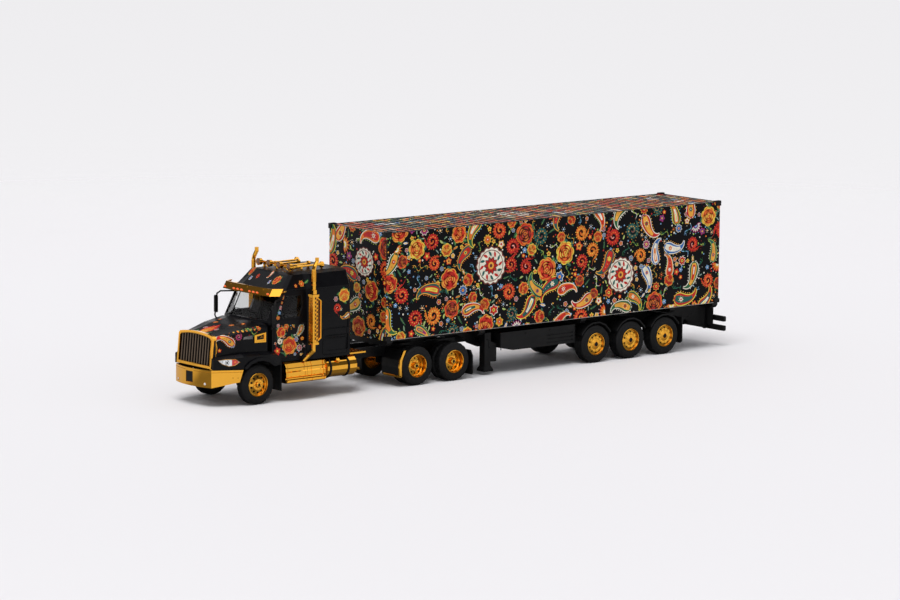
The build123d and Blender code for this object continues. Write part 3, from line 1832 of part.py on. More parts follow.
def casting_slot(x, y):
    """The oval hole in the top of a corner casting, for a twist lock."""
    half = (casting_slot_length - casting_slot_width) / 2
    radius = casting_slot_width / 2
    z0 = container_top_height - casting_height - overrun
    z1 = container_top_height + overrun
    middle = block(x - half, x + half, y - radius, y + radius, z0, z1)
    return fused(middle, rod_z(x - half, y, radius, z0, z1), rod_z(x + half, y, radius, z0, z1))


def container_floor():
    top = container_base + floor_thick
    return block(inside_rear_x, inside_front_x, -inner_half, inner_half, container_base, top)


def container_frame():
    """Floor with its end posts and corner castings, one rigid frame."""
    z0 = container_base
    pieces = [container_floor()]
    pockets = []
    for x_out, sense in container_ends:
        for y_side in (1, -1):
            for z in casting_bases:
                pieces.append(casting(x_out, sense, y_side, z))
                pockets.extend(casting_pocket(x_out, sense, y_side, z))
            x0, x1 = sorted((x_out, x_out - sense * panel))
            y0, y1 = sorted((y_side * inner_half, y_side * container_half_width))
            pieces.append(block(x0, x1, y0, y1, z0, container_top_height))
    whole = fused(*pieces)
    for pocket in pockets:
        whole = whole - pocket
    for y_side in (1, -1):
        for x_side in (1, -1):
            x = (container_front_x + container_rear_x + x_side * casting_slot_spacing_x) / 2
            y = y_side * casting_slot_spacing_y / 2
            whole = whole - casting_slot(x, y)
    return whole


write("container_frame", container_frame())


def clear_of_corners(body):
    """A panel cut back from the castings, posts and floor around it."""
    for x_out, sense in container_ends:
        for y_side in (1, -1):
            for z in casting_bases:
                body = body - casting(x_out, sense, y_side, z)
    return body - container_floor()


def container_side():
    x0, x1 = inside_rear_x, inside_front_x
    body = block(x0, x1, inner_half, container_half_width, container_base, container_top_height)
    return clear_of_corners(body)


write("container_sides", *both_sides(container_side()))

# Front and doors, the doors with four lock rods and a gap between the leaves
rod_radius = 0.3
keeper_shares = (0.05, 0.95)
rod_sides = 6
rod_stand_off = 0.35
door_gap = 0.3
door_rod_shares = (0.22, 0.62)
door_recess = 0.5


def container_end(x0, x1):
    body = block(x0, x1, -inner_half, inner_half, container_base, container_top_height)
    return clear_of_corners(body)


def lock_rod(share):
    """An upright lock rod on a door leaf with its two brackets."""
    x = container_rear_x + door_recess - rod_stand_off
    y = share * inner_half
    z0, z1 = container_base + casting_height / 2, container_top_height - casting_height / 2
    rod = Pos(x, y, z0) * (along_z * stepped([(rod_radius, 0), (rod_radius, z1 - z0)], rod_sides))
    pieces = [rod]
    half = 2 * rod_radius
    for height_share in keeper_shares:
        z = z0 + height_share * (z1 - z0)
        front = container_rear_x + door_recess
        pieces.append(block(x - rod_radius, front, y - half, y + half, z - half, z + half))
    return fused(*pieces)


def container_doors():
    """Both leaves as one recessed panel, split by a shallow gap."""
    x0, x1 = container_rear_x + door_recess, inside_rear_x + door_recess
    body = container_end(x0, x1)
    gap = block(x0 - overrun, x0 + door_gap, -door_gap / 2, door_gap / 2, 0, container_top_height + overrun)
    return fused(body - gap, *both_sides(*[lock_rod(share) for share in door_rod_shares]))


write("container_front", container_end(inside_front_x, container_front_x))
write("container_doors", container_doors())

# Roof: a thin sheet under many raised ribs across the container
roof_rib_count = 48
roof_rib_height = 0.35
roof_rib_share = 0.55
roof_rib_slope_share = 0.08
roof_drop = 0.1
roof_sheet_thickness = 0.9


def container_roof():
    """The ribbed sheet in one profile, cut back from the frame around it."""
    x0 = inside_rear_x + door_recess
    length = inside_front_x - x0
    pitch = length / roof_rib_count
    high = container_top_height - roof_drop
    low = high - roof_rib_height
    outline = [(x0, low - roof_sheet_thickness), (x0, low)]
    flat_half = roof_rib_share * pitch / 2
    foot_half_length = flat_half + roof_rib_slope_share * pitch
    for k in range(roof_rib_count):
        middle = x0 + (k + 0.5) * pitch
        outline.append((middle - foot_half_length, low))
        outline.append((middle - flat_half, high))
        outline.append((middle + flat_half, high))
        outline.append((middle + foot_half_length, low))
    outline.extend([(inside_front_x, low), (inside_front_x, low - roof_sheet_thickness)])
    return clear_of_corners(side_plate(outline, -inner_half, inner_half))


write("container_roof", container_roof())
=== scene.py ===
"""The looks of the model lorry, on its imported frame. X forward, Z up; pieces in millimetres, the scene in metres."""

import math
import random

import bmesh
import bpy
from mathutils import Matrix, Vector
from mathutils.bvhtree import BVHTree
from mathutils.geometry import delaunay_2d_cdt


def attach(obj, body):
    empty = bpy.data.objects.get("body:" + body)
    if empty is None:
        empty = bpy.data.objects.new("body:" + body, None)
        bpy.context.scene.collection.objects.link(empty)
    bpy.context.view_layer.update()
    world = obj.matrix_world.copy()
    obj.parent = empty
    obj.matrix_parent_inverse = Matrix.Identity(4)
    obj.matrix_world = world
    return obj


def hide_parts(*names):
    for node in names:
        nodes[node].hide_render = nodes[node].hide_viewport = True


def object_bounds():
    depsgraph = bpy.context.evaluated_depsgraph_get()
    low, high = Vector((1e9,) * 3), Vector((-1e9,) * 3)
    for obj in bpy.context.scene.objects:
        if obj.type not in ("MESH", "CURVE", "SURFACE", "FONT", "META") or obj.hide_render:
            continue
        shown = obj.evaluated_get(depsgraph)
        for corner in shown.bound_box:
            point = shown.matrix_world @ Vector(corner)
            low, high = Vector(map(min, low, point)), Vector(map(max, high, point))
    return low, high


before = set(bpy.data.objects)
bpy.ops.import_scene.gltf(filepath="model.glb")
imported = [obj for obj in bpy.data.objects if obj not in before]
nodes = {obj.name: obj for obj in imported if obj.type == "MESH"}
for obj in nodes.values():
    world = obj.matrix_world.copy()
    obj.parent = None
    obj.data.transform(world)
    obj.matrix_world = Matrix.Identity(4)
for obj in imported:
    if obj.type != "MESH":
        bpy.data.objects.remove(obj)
cad_low, cad_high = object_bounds()
MM = 0.001
UP = Vector((0, 0, 1))
BACKWARD = (-1, 0, 0)
SIDES = (1, -1)
scene = bpy.context.scene

# Camera, fitted to the photograph
IMAGE_W, FOCAL_PIXELS, SENSOR = 900, 4044.32, 36.0
YAW, PITCH, ROLL = -2.267140, 0.144356, 0.009979
CAMERA_MM = (1099.86, 1310.90, 279.52)
camera_data = bpy.data.cameras.new("camera")
camera_data.sensor_fit = "HORIZONTAL"
camera_data.sensor_width = SENSOR
camera_data.lens = FOCAL_PIXELS / IMAGE_W * SENSOR
camera_data.clip_start, camera_data.clip_end = 0.05, 60.0
camera = bpy.data.objects.new("camera", camera_data)
scene.collection.objects.link(camera)
back = Vector((-math.cos(PITCH) * math.cos(YAW), -math.cos(PITCH) * math.sin(YAW), math.sin(PITCH)))
level_right = (-back).cross(UP).normalized()
level_up = level_right.cross(-back)
right = math.cos(ROLL) * level_right + math.sin(ROLL) * level_up
up = -math.sin(ROLL) * level_right + math.cos(ROLL) * level_up
camera.matrix_world = Matrix.Translation(Vector(CAMERA_MM) * MM) @ Matrix((right, up, back)).transposed().to_4x4()
scene.camera = camera


# Materials
def material(name):
    made = bpy.data.materials.new(name)
    made.use_nodes = True
    return made, made.node_tree, made.node_tree.nodes["Principled BSDF"]


def feed(tree, node, inputs):
    """Sets a node's inputs, each to a value or to the output of another node."""
    for slot, value in inputs.items():
        if isinstance(value, bpy.types.NodeSocket):
            tree.links.new(value, node.inputs[slot])
        else:
            node.inputs[slot].default_value = value


def node_of(tree, kind, inputs, operation=None):
    node = tree.nodes.new("ShaderNode" + kind)
    if operation:
        node.operation = operation
    feed(tree, node, inputs)
    return node


def maths(tree, operation, first, second):
    return node_of(tree, "Math", {0: first, 1: second}, operation).outputs[0]


def mapped(tree, value, low, high, to_low, to_high, curve="SMOOTHSTEP"):
    """A value between two limits, turned into one between two others."""
    limits = {"From Min": low, "From Max": high, "To Min": to_low, "To Max": to_high}
    node = node_of(tree, "MapRange", {"Value": value, **limits})
    node.interpolation_type = curve
    return node.outputs["Result"]


def ramp(tree, source, stops):
    """A colour ramp over a value, from stops of (place, colour)."""
    node = tree.nodes.new("ShaderNodeValToRGB")
    while len(node.color_ramp.elements) < len(stops):
        node.color_ramp.elements.new(0.5)
    for element, (place, colour) in zip(node.color_ramp.elements, stops):
        element.position = place
        element.color = (*colour, 1)
    tree.links.new(source, node.inputs[0])
    return node.outputs[0]


def noise(tree, scale, detail):
    where = tree.nodes.new("ShaderNodeTexCoord").outputs["Object"]
    inputs = {"Scale": scale, "Detail": detail, "Roughness": 0.55, "Vector": where}
    return node_of(tree, "TexNoise", inputs).outputs["Fac"]


def grey(v):
    return (v, v, v)


def painted(
    name, colour, rough, spread=0.04, coat=0.0, grain=900.0, relief=0.00001, metallic=0.0, shade=0.15, spec=0.4
):
    """A painted, plated or moulded surface: slightly uneven in colour and gloss, with a fine grain."""
    made, tree, shader = material(name)
    low, high = (tuple(min(1, c * (1 + s)) for c in colour) for s in (-shade, shade))
    gloss = [(0.35, grey(max(0.02, rough - spread))), (0.7, grey(rough + spread))]
    feed(tree, shader, {
        "Base Color": ramp(tree, noise(tree, grain / 6, 4), [(0.3, low), (0.7, high)]),
        "Roughness": ramp(tree, noise(tree, grain / 3, 2), gloss),
        "Metallic": metallic,
        "Coat Weight": coat,
        "Coat Roughness": 0.08,
        "Specular IOR Level": spec,
    })
    if relief:
        bump = node_of(tree, "Bump", {"Strength": 0.35, "Distance": relief, "Height": noise(tree, grain, 3)})
        tree.links.new(bump.outputs["Normal"], shader.inputs["Normal"])
    return made


def glass(name, tint):
    made, tree, shader = material(name)
    haze = ramp(tree, noise(tree, 120.0, 2), [(0.35, grey(0.01)), (0.75, grey(0.05))])
    feed(tree, shader, {"Base Color": (*tint, 1), "Transmission Weight": 1.0, "IOR": 1.22, "Roughness": haze})
    return made


GRILLE_LEAN, GRILLE_BACK, GRILLE_FACE = 0.0909, 0.13950, 0.14015


def grille_with_painted_depth_shade():
    """Bars of pale bronze in front of a dark plate, told apart by their depth along the raked front; the colour darkens
    with depth, which is painted shade in the recesses between the bars.
    """
    made, tree, shader = material("grille_bars")
    where = tree.nodes.new("ShaderNodeTexCoord").outputs["Object"]
    parts = node_of(tree, "SeparateXYZ", {0: where}).outputs
    lean = node_of(tree, "Math", {0: parts["Z"], 1: GRILLE_LEAN, 2: parts["X"]}, "MULTIPLY_ADD").outputs[0]
    depth = mapped(tree, lean, GRILLE_BACK, GRILLE_FACE, 0.0, 1.0, "LINEAR")
    # Near black at the back, pale bronze at the face: painted shade that deepens with depth
    tones = [(0.0, (0.006, 0.004, 0.003)), (0.55, (0.02, 0.013, 0.009)), (1.0, (0.25, 0.185, 0.13))]
    gloss = ramp(tree, noise(tree, 900.0, 3), [(0.3, grey(0.28)), (0.7, grey(0.42))])
    feed(tree, shader, {"Base Color": ramp(tree, depth, tones), "Roughness": gloss, "Metallic": 0.7})
    return made


gold = painted("gold_plating", (0.90, 0.44, 0.050), 0.10, 0.05, 0.0, 500.0, 0.000012, 1.0, 0.05, 0.5)
gold_satin = painted("gold_brushed", (0.80, 0.38, 0.040), 0.22, 0.06, 0.0, 700.0, 0.00002, 1.0, 0.06, 0.5)
black_paint = painted("satin_black_paint", (0.0028, 0.0028, 0.0038), 0.32, 0.05, spec=0.14)
print_ground = painted("printed_black_ground", (0.0020, 0.0019, 0.0032), 0.34, 0.06, spec=0.09)
black_plastic = painted("black_moulding", (0.0065, 0.0065, 0.007), 0.5, 0.08, 0.0, 1500.0, 0.00002, spec=0.18)
chassis_black = painted("chassis_black", (0.0065, 0.0065, 0.007), 0.42, 0.07, 0.0, 1200.0, 0.00002, spec=0.18)
interior = painted("cabin_moulding", (0.011, 0.011, 0.012), 0.6, 0.08, 0.0, 1200.0, 0.00002, spec=0.2)
rubber = painted("tyre_rubber", (0.0075, 0.0075, 0.008), 0.6, 0.1, 0.0, 1800.0, 0.00003, shade=0.2, spec=0.25)
bronze = painted("dark_bronze", (0.045, 0.024, 0.010), 0.34, 0.05, metallic=0.6)
deep_black = painted("deep_black", (0.004, 0.004, 0.004), 0.7, 0.05)
lamp_white = painted("lamp_shell", (0.62, 0.64, 0.66), 0.12, 0.04, 0.6)
lens_clear = painted("lamp_lens", (0.86, 0.88, 0.90), 0.07, 0.03, 0.8, 600.0, 0.0, shade=0.05)
lens_smoke = painted("lamp_lens_smoke", (0.16, 0.055, 0.012), 0.10, 0.03, 0.6, 600.0, 0.0, 0.3, 0.1)
lens_red = painted("lamp_lens_red", (0.62, 0.02, 0.012), 0.12, 0.04, 0.8, 600.0, 0.0, shade=0.2)
lens_amber = painted("lamp_lens_amber", (0.92, 0.15, 0.01), 0.14, 0.04, 0.7, 600.0, 0.0, shade=0.2)
lens_lit = painted("lamp_lens_lit", (0.95, 0.13, 0.012), 0.16, 0.04, 0.4, 600.0, 0.0, shade=0.1)
glow = {"Emission Color": (1.0, 0.12, 0.02, 1), "Emission Strength": 0.35}
feed(lens_lit.node_tree, lens_lit.node_tree.nodes["Principled BSDF"], glow)
silver = painted("mirror_silver", (0.80, 0.81, 0.83), 0.06, 0.03, 0.0, 400.0, 0.0, 1.0, 0.03)
mesh_grey = painted("intake_mesh", (0.16, 0.155, 0.15), 0.45, 0.08, 0.0, 2400.0, 0.00004, 0.3, 0.3)
rail_line = painted("rail_edge", (0.34, 0.33, 0.31), 0.4, 0.06, 0.1, 1200.0, 0.000005, shade=0.25)
screen_glass = glass("screen_glass", (0.985, 0.99, 0.99))
side_glass = glass("side_glass", (0.95, 0.955, 0.96))
grille_look = grille_with_painted_depth_shade()
PALETTE = {
    "red": (0.55, 0.018, 0.012),
    "orange_red": (0.70, 0.060, 0.016),
    "orange": (0.80, 0.20, 0.02),
    "amber": (0.86, 0.40, 0.05),
    "yellow": (0.86, 0.68, 0.08),
    "lime": (0.36, 0.50, 0.08),
    "green": (0.02, 0.13, 0.045),
    "teal": (0.012, 0.10, 0.085),
    "blue": (0.03, 0.14, 0.42),
    "sky": (0.22, 0.45, 0.72),
    "magenta": (0.36, 0.02, 0.14),
    "purple": (0.14, 0.03, 0.22),
    "cream": (0.86, 0.80, 0.66),
    "brown": (0.14, 0.03, 0.02),
}
PRINTS = {k: painted("print_" + k, v, 0.38, 0.05, 0.0, 1600.0, 0.000006, 0.0, 0.22, 0.2) for k, v in PALETTE.items()}

WHEEL_SETS = ("steer", "drive_1", "drive_2", "trailer_1", "trailer_2", "trailer_3")
LOOKS = {
    gold: [
        "front_bumper", "bumper_brackets", "grille_surround", "sun_visor", "roof_bar", "exhaust_stacks", "step_boxes",
        "fuel_tanks", "intake_frames", "deck_plates", "quarter_edges", *[name + "_rims" for name in WHEEL_SETS],
    ],
    grille_look: ["grille_bars"],
    black_paint: ["hood", "cab_front", "cab_sides", "cab_rear_wall", "cab_roof"],
    print_ground: ["container_sides", "container_front", "container_doors", "container_roof"],
    chassis_black: [
        "tractor_frame", "trailer_chassis", "trailer_neck", "container_frame", "fifth_wheel", "engine",
        "landing_legs", "side_boxes", "rear_bars",
    ],
    black_plastic: [
        "mirrors", "trailer_mudguards", "trailer_mudflaps", "tractor_mudflaps", "quarter_fenders", "tank_straps",
    ],
    rubber: [name + "_tyres" for name in WHEEL_SETS],
    interior: ["cab_floor", "dashboard", "seats"],
    lamp_white: ["headlamps"],
    screen_glass: ["windshield"],
    side_glass: ["side_windows"],
}
for look, names in LOOKS.items():
    for name in names:
        nodes[name].data.materials.clear()
        nodes[name].data.materials.append(look)


# Small makers of meshes
class Shape:
    """Points and faces of one piece, each face with its material and shading."""

    def __init__(self):
        self.points, self.faces, self.looks, self.smooth = [], [], [], []

    def add(self, points, faces, look, smooth=False):
        base = len(self.points)
        self.points.extend(tuple(p) for p in points)
        self.faces.extend(tuple(base + i for i in face) for face in faces)
        self.looks.extend([look] * len(faces))
        self.smooth.extend([smooth] * len(faces))

    def made(self, name, body, slot=None, stands_for=()):
        mesh = bpy.data.meshes.new(name)
        mesh.from_pydata([(x * MM, y * MM, z * MM) for x, y, z in self.points], [], self.faces)
        table = list(dict.fromkeys(self.looks))
        for look in table:
            mesh.materials.append(look)
        mesh.polygons.foreach_set("material_index", [table.index(look) for look in self.looks])
        mesh.polygons.foreach_set("use_smooth", self.smooth)
        mesh.update()
        made = bpy.data.objects.new(name, mesh)
        scene.collection.objects.link(made)
        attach(made, body)
        if stands_for:
            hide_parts(*stands_for)
        return made


def angles(count, start=0.0):
    return [start + 2 * math.pi * k / count for k in range(count)]


def polar(radius, a, cx=0.0, cy=0.0):
    return (cx + radius * math.cos(a), cy + radius * math.sin(a))


def ring_of(radius, sides, cx=0.0, cy=0.0):
    return [polar(radius, a, cx, cy) for a in angles(sides)]


def frame_of(way):
    """Two directions across a direction."""
    way = Vector(way).normalized()
    side = way.cross(UP if abs(way.z) < 0.9 else Vector((1, 0, 0))).normalized()
    return side, side.cross(way).normalized()


def band(sides, low=0, high=None):
    """Faces between two rings of points."""
    high = sides if high is None else high
    return [(low + i, low + (i + 1) % sides, high + (i + 1) % sides, high + i) for i in range(sides)]


def lathe(shape, profile, place, way, look, sides=48, smooth=True, wave=None):
    """A profile of (radius, height) turned round a direction. smooth may hold one value a row."""
    way, place = Vector(way).normalized(), Vector(place)
    u, v = frame_of(way)
    rings = []
    for k, (radius, height) in enumerate(profile):
        rings.append([])
        for i, a in enumerate(angles(sides)):
            r, h = wave(k, i, radius, height) if wave else (radius, height)
            rings[-1].append(place + way * h + (u * math.cos(a) + v * math.sin(a)) * r)
    for k in range(len(profile) - 1):
        shape.add(rings[k] + rings[k + 1], band(sides), look, smooth if isinstance(smooth, bool) else smooth[k])


def tube(shape, path, radius, look, sides=10, smooth=True, closed=False):
    """A round bar along a path of points."""
    path = [Vector(p) for p in path]
    count = len(path)
    points, faces, side = [], [], None
    for k, p in enumerate(path):
        if closed:
            way = path[(k + 1) % count] - path[k - 1]
        else:
            way = path[min(k + 1, count - 1)] - path[max(k - 1, 0)]
        way.normalize()
        if side is None:
            side = frame_of(way)[0]
        side = (side - way * side.dot(way)).normalized()
        other = way.cross(side)
        for a in angles(sides, math.pi / sides):
            points.append(p + side * math.cos(a) * radius + other * math.sin(a) * radius)
    for k in range(count if closed else count - 1):
        faces += band(sides, k * sides, (k + 1) % count * sides)
    shape.add(points, faces, look, smooth)
    if not closed:
        shape.add(points[:sides], [tuple(range(sides))[::-1]], look)
        shape.add(points[-sides:], [tuple(range(sides))], look)


def slab(shape, corner, opposite, look, bevel):
    """A box between two opposite corners, with its edges eased."""
    spans = [sorted(pair) for pair in zip(corner, opposite)]
    work = bmesh.new()
    bmesh.ops.create_cube(work, size=1.0)
    for vert in work.verts:
        vert.co = Vector([(low + high) / 2 + c * (high - low) for c, (low, high) in zip(vert.co, spans)])
    bmesh.ops.bevel(work, geom=work.edges[:], offset=bevel, segments=2, affect="EDGES", profile=0.6)
    work.verts.ensure_lookup_table()
    work.verts.index_update()
    shape.add([v.co.copy() for v in work.verts], [tuple(v.index for v in f.verts) for f in work.faces], look)
    work.free()


def nut(shape, place, way, radius, height, look):
    """A hexagon nut with its stud."""
    flats = [(radius, 0), (radius, height * 0.8), (radius * 0.8, height), (0.001, height)]
    stud = [(radius * 0.45, height), (radius * 0.4, height * 1.5), (0.001, height * 1.5)]
    lathe(shape, flats, place, way, look, 6, False)
    lathe(shape, stud, place, way, look, 8, True)


def quad(shape, corners, look):
    shape.add(corners, [tuple(range(len(corners)))], look)


def mirrored(points, sense):
    """Points of the left side, or their mirror on the right in reverse order."""
    return points if sense > 0 else [(x, -y, z) for x, y, z in points[::-1]]


def flank(shape, origin, along, scale, sense):
    """Places on an upright plane of one flank, u along it, v up and w outward, and panels on them."""
    (x0, y0, z0), (ax, ay), (su, sv) = origin, along, scale

    def at(u, v, w):
        return (x0 + ax * su * u - ay * w, (y0 + ay * su * u + ax * w) * sense, z0 + sv * v)

    def panel(points, w, look):
        corners = [at(u, v, w) for u, v in points]
        quad(shape, corners[::-1] if sense > 0 else corners, look)

    return at, panel


# Places on the CAD skin
def tree_of(*names):
    points, faces = [], []
    for name in names:
        mesh = nodes[name].data
        base = len(points)
        points += [v.co / MM for v in mesh.vertices]
        faces += [tuple(base + i for i in p.vertices) for p in mesh.polygons]
    return BVHTree.FromPolygons(points, faces)


def hit(tree, start, way):
    """Where a ray meets a skin, and the skin's normal there."""
    spot, normal, _, _ = tree.ray_cast(Vector(start), Vector(way).normalized())
    return spot, normal


def trail(tree, starts, way, lift=0.0):
    """Where rays meet a skin, lifted off it."""
    found = [hit(tree, start, way) for start in starts]
    return [spot + normal * lift for spot, normal in found if spot]


def seated(shape, tree, start, way, profile, look, sides):
    """A turned fitting where a ray meets a skin."""
    spot, normal = hit(tree, start, way)
    lathe(shape, profile, spot, normal, look, sides)


# Wheels
TYRE_R, SEAT_R, TYRE_SIDES, TWIN_GAP = 8.2, 4.85, 80, 0.6
# Station, outer half width, tyre widths and kind of each wheel set
AXLES = [
    (119.4, 17.4, (4.4,), "steer"),
    (36.9, 19.0, (3.9, 3.9), "drive"),
    (16.7, 19.0, (3.9, 3.9), "drive"),
    (-63.6, 18.8, (6.0,), "trailer"),
    (-83.9, 18.8, (6.0,), "trailer"),
    (-104.2, 18.8, (6.0,), "trailer"),
]
# Tread of each kind: round grooves, width and waviness of each, depth of the cross cuts
TREADS = {"steer": (4, 0.24, 0.1, 0.16), "drive": (3, 0.3, 0.16, 0.16), "trailer": (5, 0.24, 0.1, 0.0)}
GROOVE_DEPTH = 0.32
SIDEWALL = [
    (SEAT_R, -0.5), (4.92, -0.22), (5.06, -0.08), (5.3, -0.05), (5.34, -0.11), (5.46, -0.11), (5.5, -0.03), (6.0, 0.0),
    (6.62, 0.0), (6.66, -0.06), (6.76, -0.06), (6.8, -0.01), (7.2, -0.07), (7.24, -0.14), (7.5, -0.22), (7.75, -0.36),
    (8.0, -0.52), (8.12, -0.66), (TYRE_R, -0.8),
]
LIP = [(SEAT_R + 0.02, -0.45), (SEAT_R + 0.03, -0.12), (4.78, -0.02), (4.66, 0.0), (4.56, -0.04), (4.5, -0.16)]
# Rim of each kind: rest of the lip, radii and heights of the disc's face, hand holes as radius, pitch and depth,
# hub, hub cap with its look and sides, nuts as count, pitch, setback, radius and height
RIMS = {
    "steer": (
        [(4.46, -0.6), (4.3, -0.86), (4.1, -0.9)], (4.1, 3.9, 2.3), (-0.9, -0.86, -0.3), (0.5, 3.25, 0.5),
        [(2.3, -0.3), (2.26, -0.2), (1.25, -0.2), (1.2, -0.12), (1.16, 0.32), (1.0, 0.46), (0.62, 0.5), (0.58, 0.44)],
        [(0.58, 0.44), (0.52, 0.2), (0.001, 0.2)], deep_black, 24, (10, 1.75, 0.2, 0.2, 0.2),
    ),
    "drive": (
        [(4.48, -0.5), (4.42, -1.0), (4.5, -1.3), (4.4, -1.6), (4.25, -2.2), (4.1, -2.32), (3.95, -2.3)],
        (3.95, 3.7, 2.2), (-2.3, -2.28, -2.1), (0.44, 3.12, 0.5),
        [(2.2, -2.1), (2.16, -2.0), (1.5, -2.0), (1.44, -1.9), (1.4, -1.1), (1.28, -0.82), (0.9, -0.72), (0.7, -0.72)],
        [(0.7, -0.72), (0.66, -0.9), (0.001, -0.9)], deep_black, 24, (10, 1.82, 2.0, 0.19, 0.26),
    ),
    "trailer": (
        [(4.46, -0.36), (4.36, -0.56), (4.3, -0.62)],
        (4.3, 4.15, 3.0, 2.5), (-0.62, -0.58, -0.28, -0.42), (0.4, 3.62, 0.4),
        [(2.5, -0.42), (2.42, -0.5), (2.3, -0.5), (2.2, -0.4), (1.7, -0.36), (1.62, -0.26), (1.1, -0.22), (1.02, -0.1),
         (0.95, 0.04)],
        [(0.95, 0.04), (0.86, 0.1), (0.5, 0.1), (0.42, 0.02), (0.001, 0.02)], black_plastic, 28,
        (8, 1.36, 0.24, 0.12, 0.12),
    ),
}
HAND_HOLES = 10


def one_tyre(shape, place, way, width, kind):
    """Bead, sidewall with its rings, shoulder, and a tread with round grooves and cross cuts."""
    grooves, gap, zig, cut = TREADS[kind]
    tread = []
    for g in range(grooves):
        middle = -0.8 - (width - 1.6) * (g + 0.5) / grooves
        tread += [(TYRE_R, middle + gap / 2), (TYRE_R - GROOVE_DEPTH, middle + gap / 3),
                  (TYRE_R - GROOVE_DEPTH, middle - gap / 3), (TYRE_R, middle - gap / 2)]
    profile = SIDEWALL + tread + [(r, -width - d) for r, d in SIDEWALL[::-1]]
    tread_rows = range(len(SIDEWALL), len(SIDEWALL) + len(tread))

    def wave(k, i, radius, height):
        if k in tread_rows:
            height = height + zig * (1 if (i // 2) % 2 else -1)
        elif radius >= 7.75 and i % 4 == 0:
            radius = radius - cut
        return radius, height

    soft = [low[0] < 7.7 and high[0] < 7.7 for low, high in zip(profile, profile[1:])]
    lathe(shape, profile, place, way, rubber, TYRE_SIDES, soft, wave)


def inside(loop, p):
    within = False
    for (ax, ay), (bx, by) in zip(loop, loop[1:] + loop[:1]):
        if (ay > p[1]) != (by > p[1]) and p[0] < (bx - ax) * (p[1] - ay) / (by - ay) + ax:
            within = not within
    return within


def pierced_disc(shape, place, way, radii, heights, hole):
    """A wheel disc with round hand holes, its face following a profile of heights."""
    place, way, (hole_r, pitch, depth) = Vector(place), Vector(way), hole
    u, v = frame_of(way)
    if u.cross(v).dot(way) < 0:
        v = -v

    def on_face(p, drop=0.0):
        r, height = math.hypot(p[0], p[1]), heights[0 if math.hypot(p[0], p[1]) > radii[0] else -1]
        for k in range(len(radii) - 1):
            if radii[k] >= r >= radii[k + 1]:
                share = (radii[k] - r) / (radii[k] - radii[k + 1])
                height = heights[k] + share * (heights[k + 1] - heights[k])
                break
        return place + u * p[0] + v * p[1] + way * (height - drop)

    holes = [ring_of(hole_r, 14, *polar(pitch, a)) for a in angles(HAND_HOLES, math.pi / HAND_HOLES)]
    rim, hub = ring_of(radii[0], 56), ring_of(radii[-1], 40)
    points, edges = [], []
    for loop in (rim, *holes, hub):
        base, count = len(points), len(loop)
        points += [Vector(p) for p in loop]
        edges += [(base + i, base + (i + 1) % count) for i in range(count)]
    flat, _, tris = delaunay_2d_cdt(points, edges, [], 0, 1e-7)[:3]
    faces = []
    for tri in tris:
        middle = sum((flat[i] for i in tri), Vector((0, 0))) / 3
        if inside(rim, middle) and not any(inside(h, middle) for h in (*holes, hub)):
            faces.append(tuple(tri))
    shape.add([on_face(p) for p in flat], faces, gold)
    # Hand holes: dark bronze walls and a deep black sheet at the bottom, painted shade inside the holes
    for loop in holes:
        low = [on_face(p, depth) for p in loop]
        shape.add([on_face(p) for p in loop] + low, band(len(loop)), bronze, True)
        quad(shape, low, deep_black)


def one_rim(shape, place, way, width, kind):
    lip, radii, heights, hole, hub, cap, cap_look, cap_sides, (count, pitch, setback, nut_r, nut_h) = RIMS[kind]
    back = [(SEAT_R, -width + 0.5), (SEAT_R, -width + 0.15), (4.6, -width + 0.1), (4.45, -width + 0.3),
            (4.35, -width + 1.4), (1.9, -width + 1.1), (1.8, -width + 0.1), (0.6, -width + 0.1)]
    lathe(shape, [(SEAT_R, -0.45), (SEAT_R, -width + 0.5)], place, way, gold_satin, 40)
    lathe(shape, back, place, way, gold_satin, 40)
    lathe(shape, LIP + lip, place, way, gold, 56)
    pierced_disc(shape, place, way, radii, heights, hole)
    lathe(shape, hub, place, way, gold, 40)
    lathe(shape, cap, place, way, cap_look, cap_sides)
    u, v = frame_of(way)
    for a in angles(count):
        spot = Vector(place) + (u * math.cos(a) + v * math.sin(a)) * pitch - Vector(way) * setback
        nut(shape, spot, way, nut_r, nut_h, gold)


def inner_rim(shape, place, way, width):
    """The second wheel of a pair, of which only the edge and the back show."""
    back = [(SEAT_R, -width + 0.3), (4.5, -width + 0.3), (4.3, -width + 1.0), (1.5, -width + 1.2),
            (1.4, -width + 0.1), (0.6, -width + 0.1)]
    barrel, dish = [(SEAT_R, -0.4), (SEAT_R, -width + 0.4)], [(SEAT_R, -0.3), (4.5, -0.3), (4.4, -0.9), (1.6, -0.9)]
    for profile in (barrel, dish, back):
        lathe(shape, profile, place, way, gold_satin, 40)


def wheels():
    for name, (x, half, widths, kind) in zip(WHEEL_SETS, AXLES):
        tyres, rims = Shape(), Shape()
        for sense in SIDES:
            y = half
            for k, width in enumerate(widths):
                place, way = (x, sense * y, TYRE_R), (0, sense, 0)
                one_tyre(tyres, place, way, width, kind)
                if k == 0:
                    one_rim(rims, place, way, width, kind)
                else:
                    inner_rim(rims, place, way, width)
                y -= width + TWIN_GAP
            if len(widths) > 1:
                spacer = [(x, sense * (half - widths[0] + step), TYRE_R) for step in (0.3, -0.9)]
                tube(rims, spacer, 1.5, gold_satin, 20)
        reach = half - sum(widths) - 0.2
        tube(rims, [(x, -reach, TYRE_R), (x, reach, TYRE_R)], 0.6, gold_satin, 16)
        tyres.made(name + "_tread", name + "_wheels", "tyre", (name + "_tyres",))
        rims.made(name + "_discs", name + "_wheels", "gold_chrome", (name + "_rims",))


wheels()


# The print: folk flowers, drops and tendrils, laid out anew for each panel from a seeded die
PLACE_TRIES, PLACE_OVER = 400, 0.25


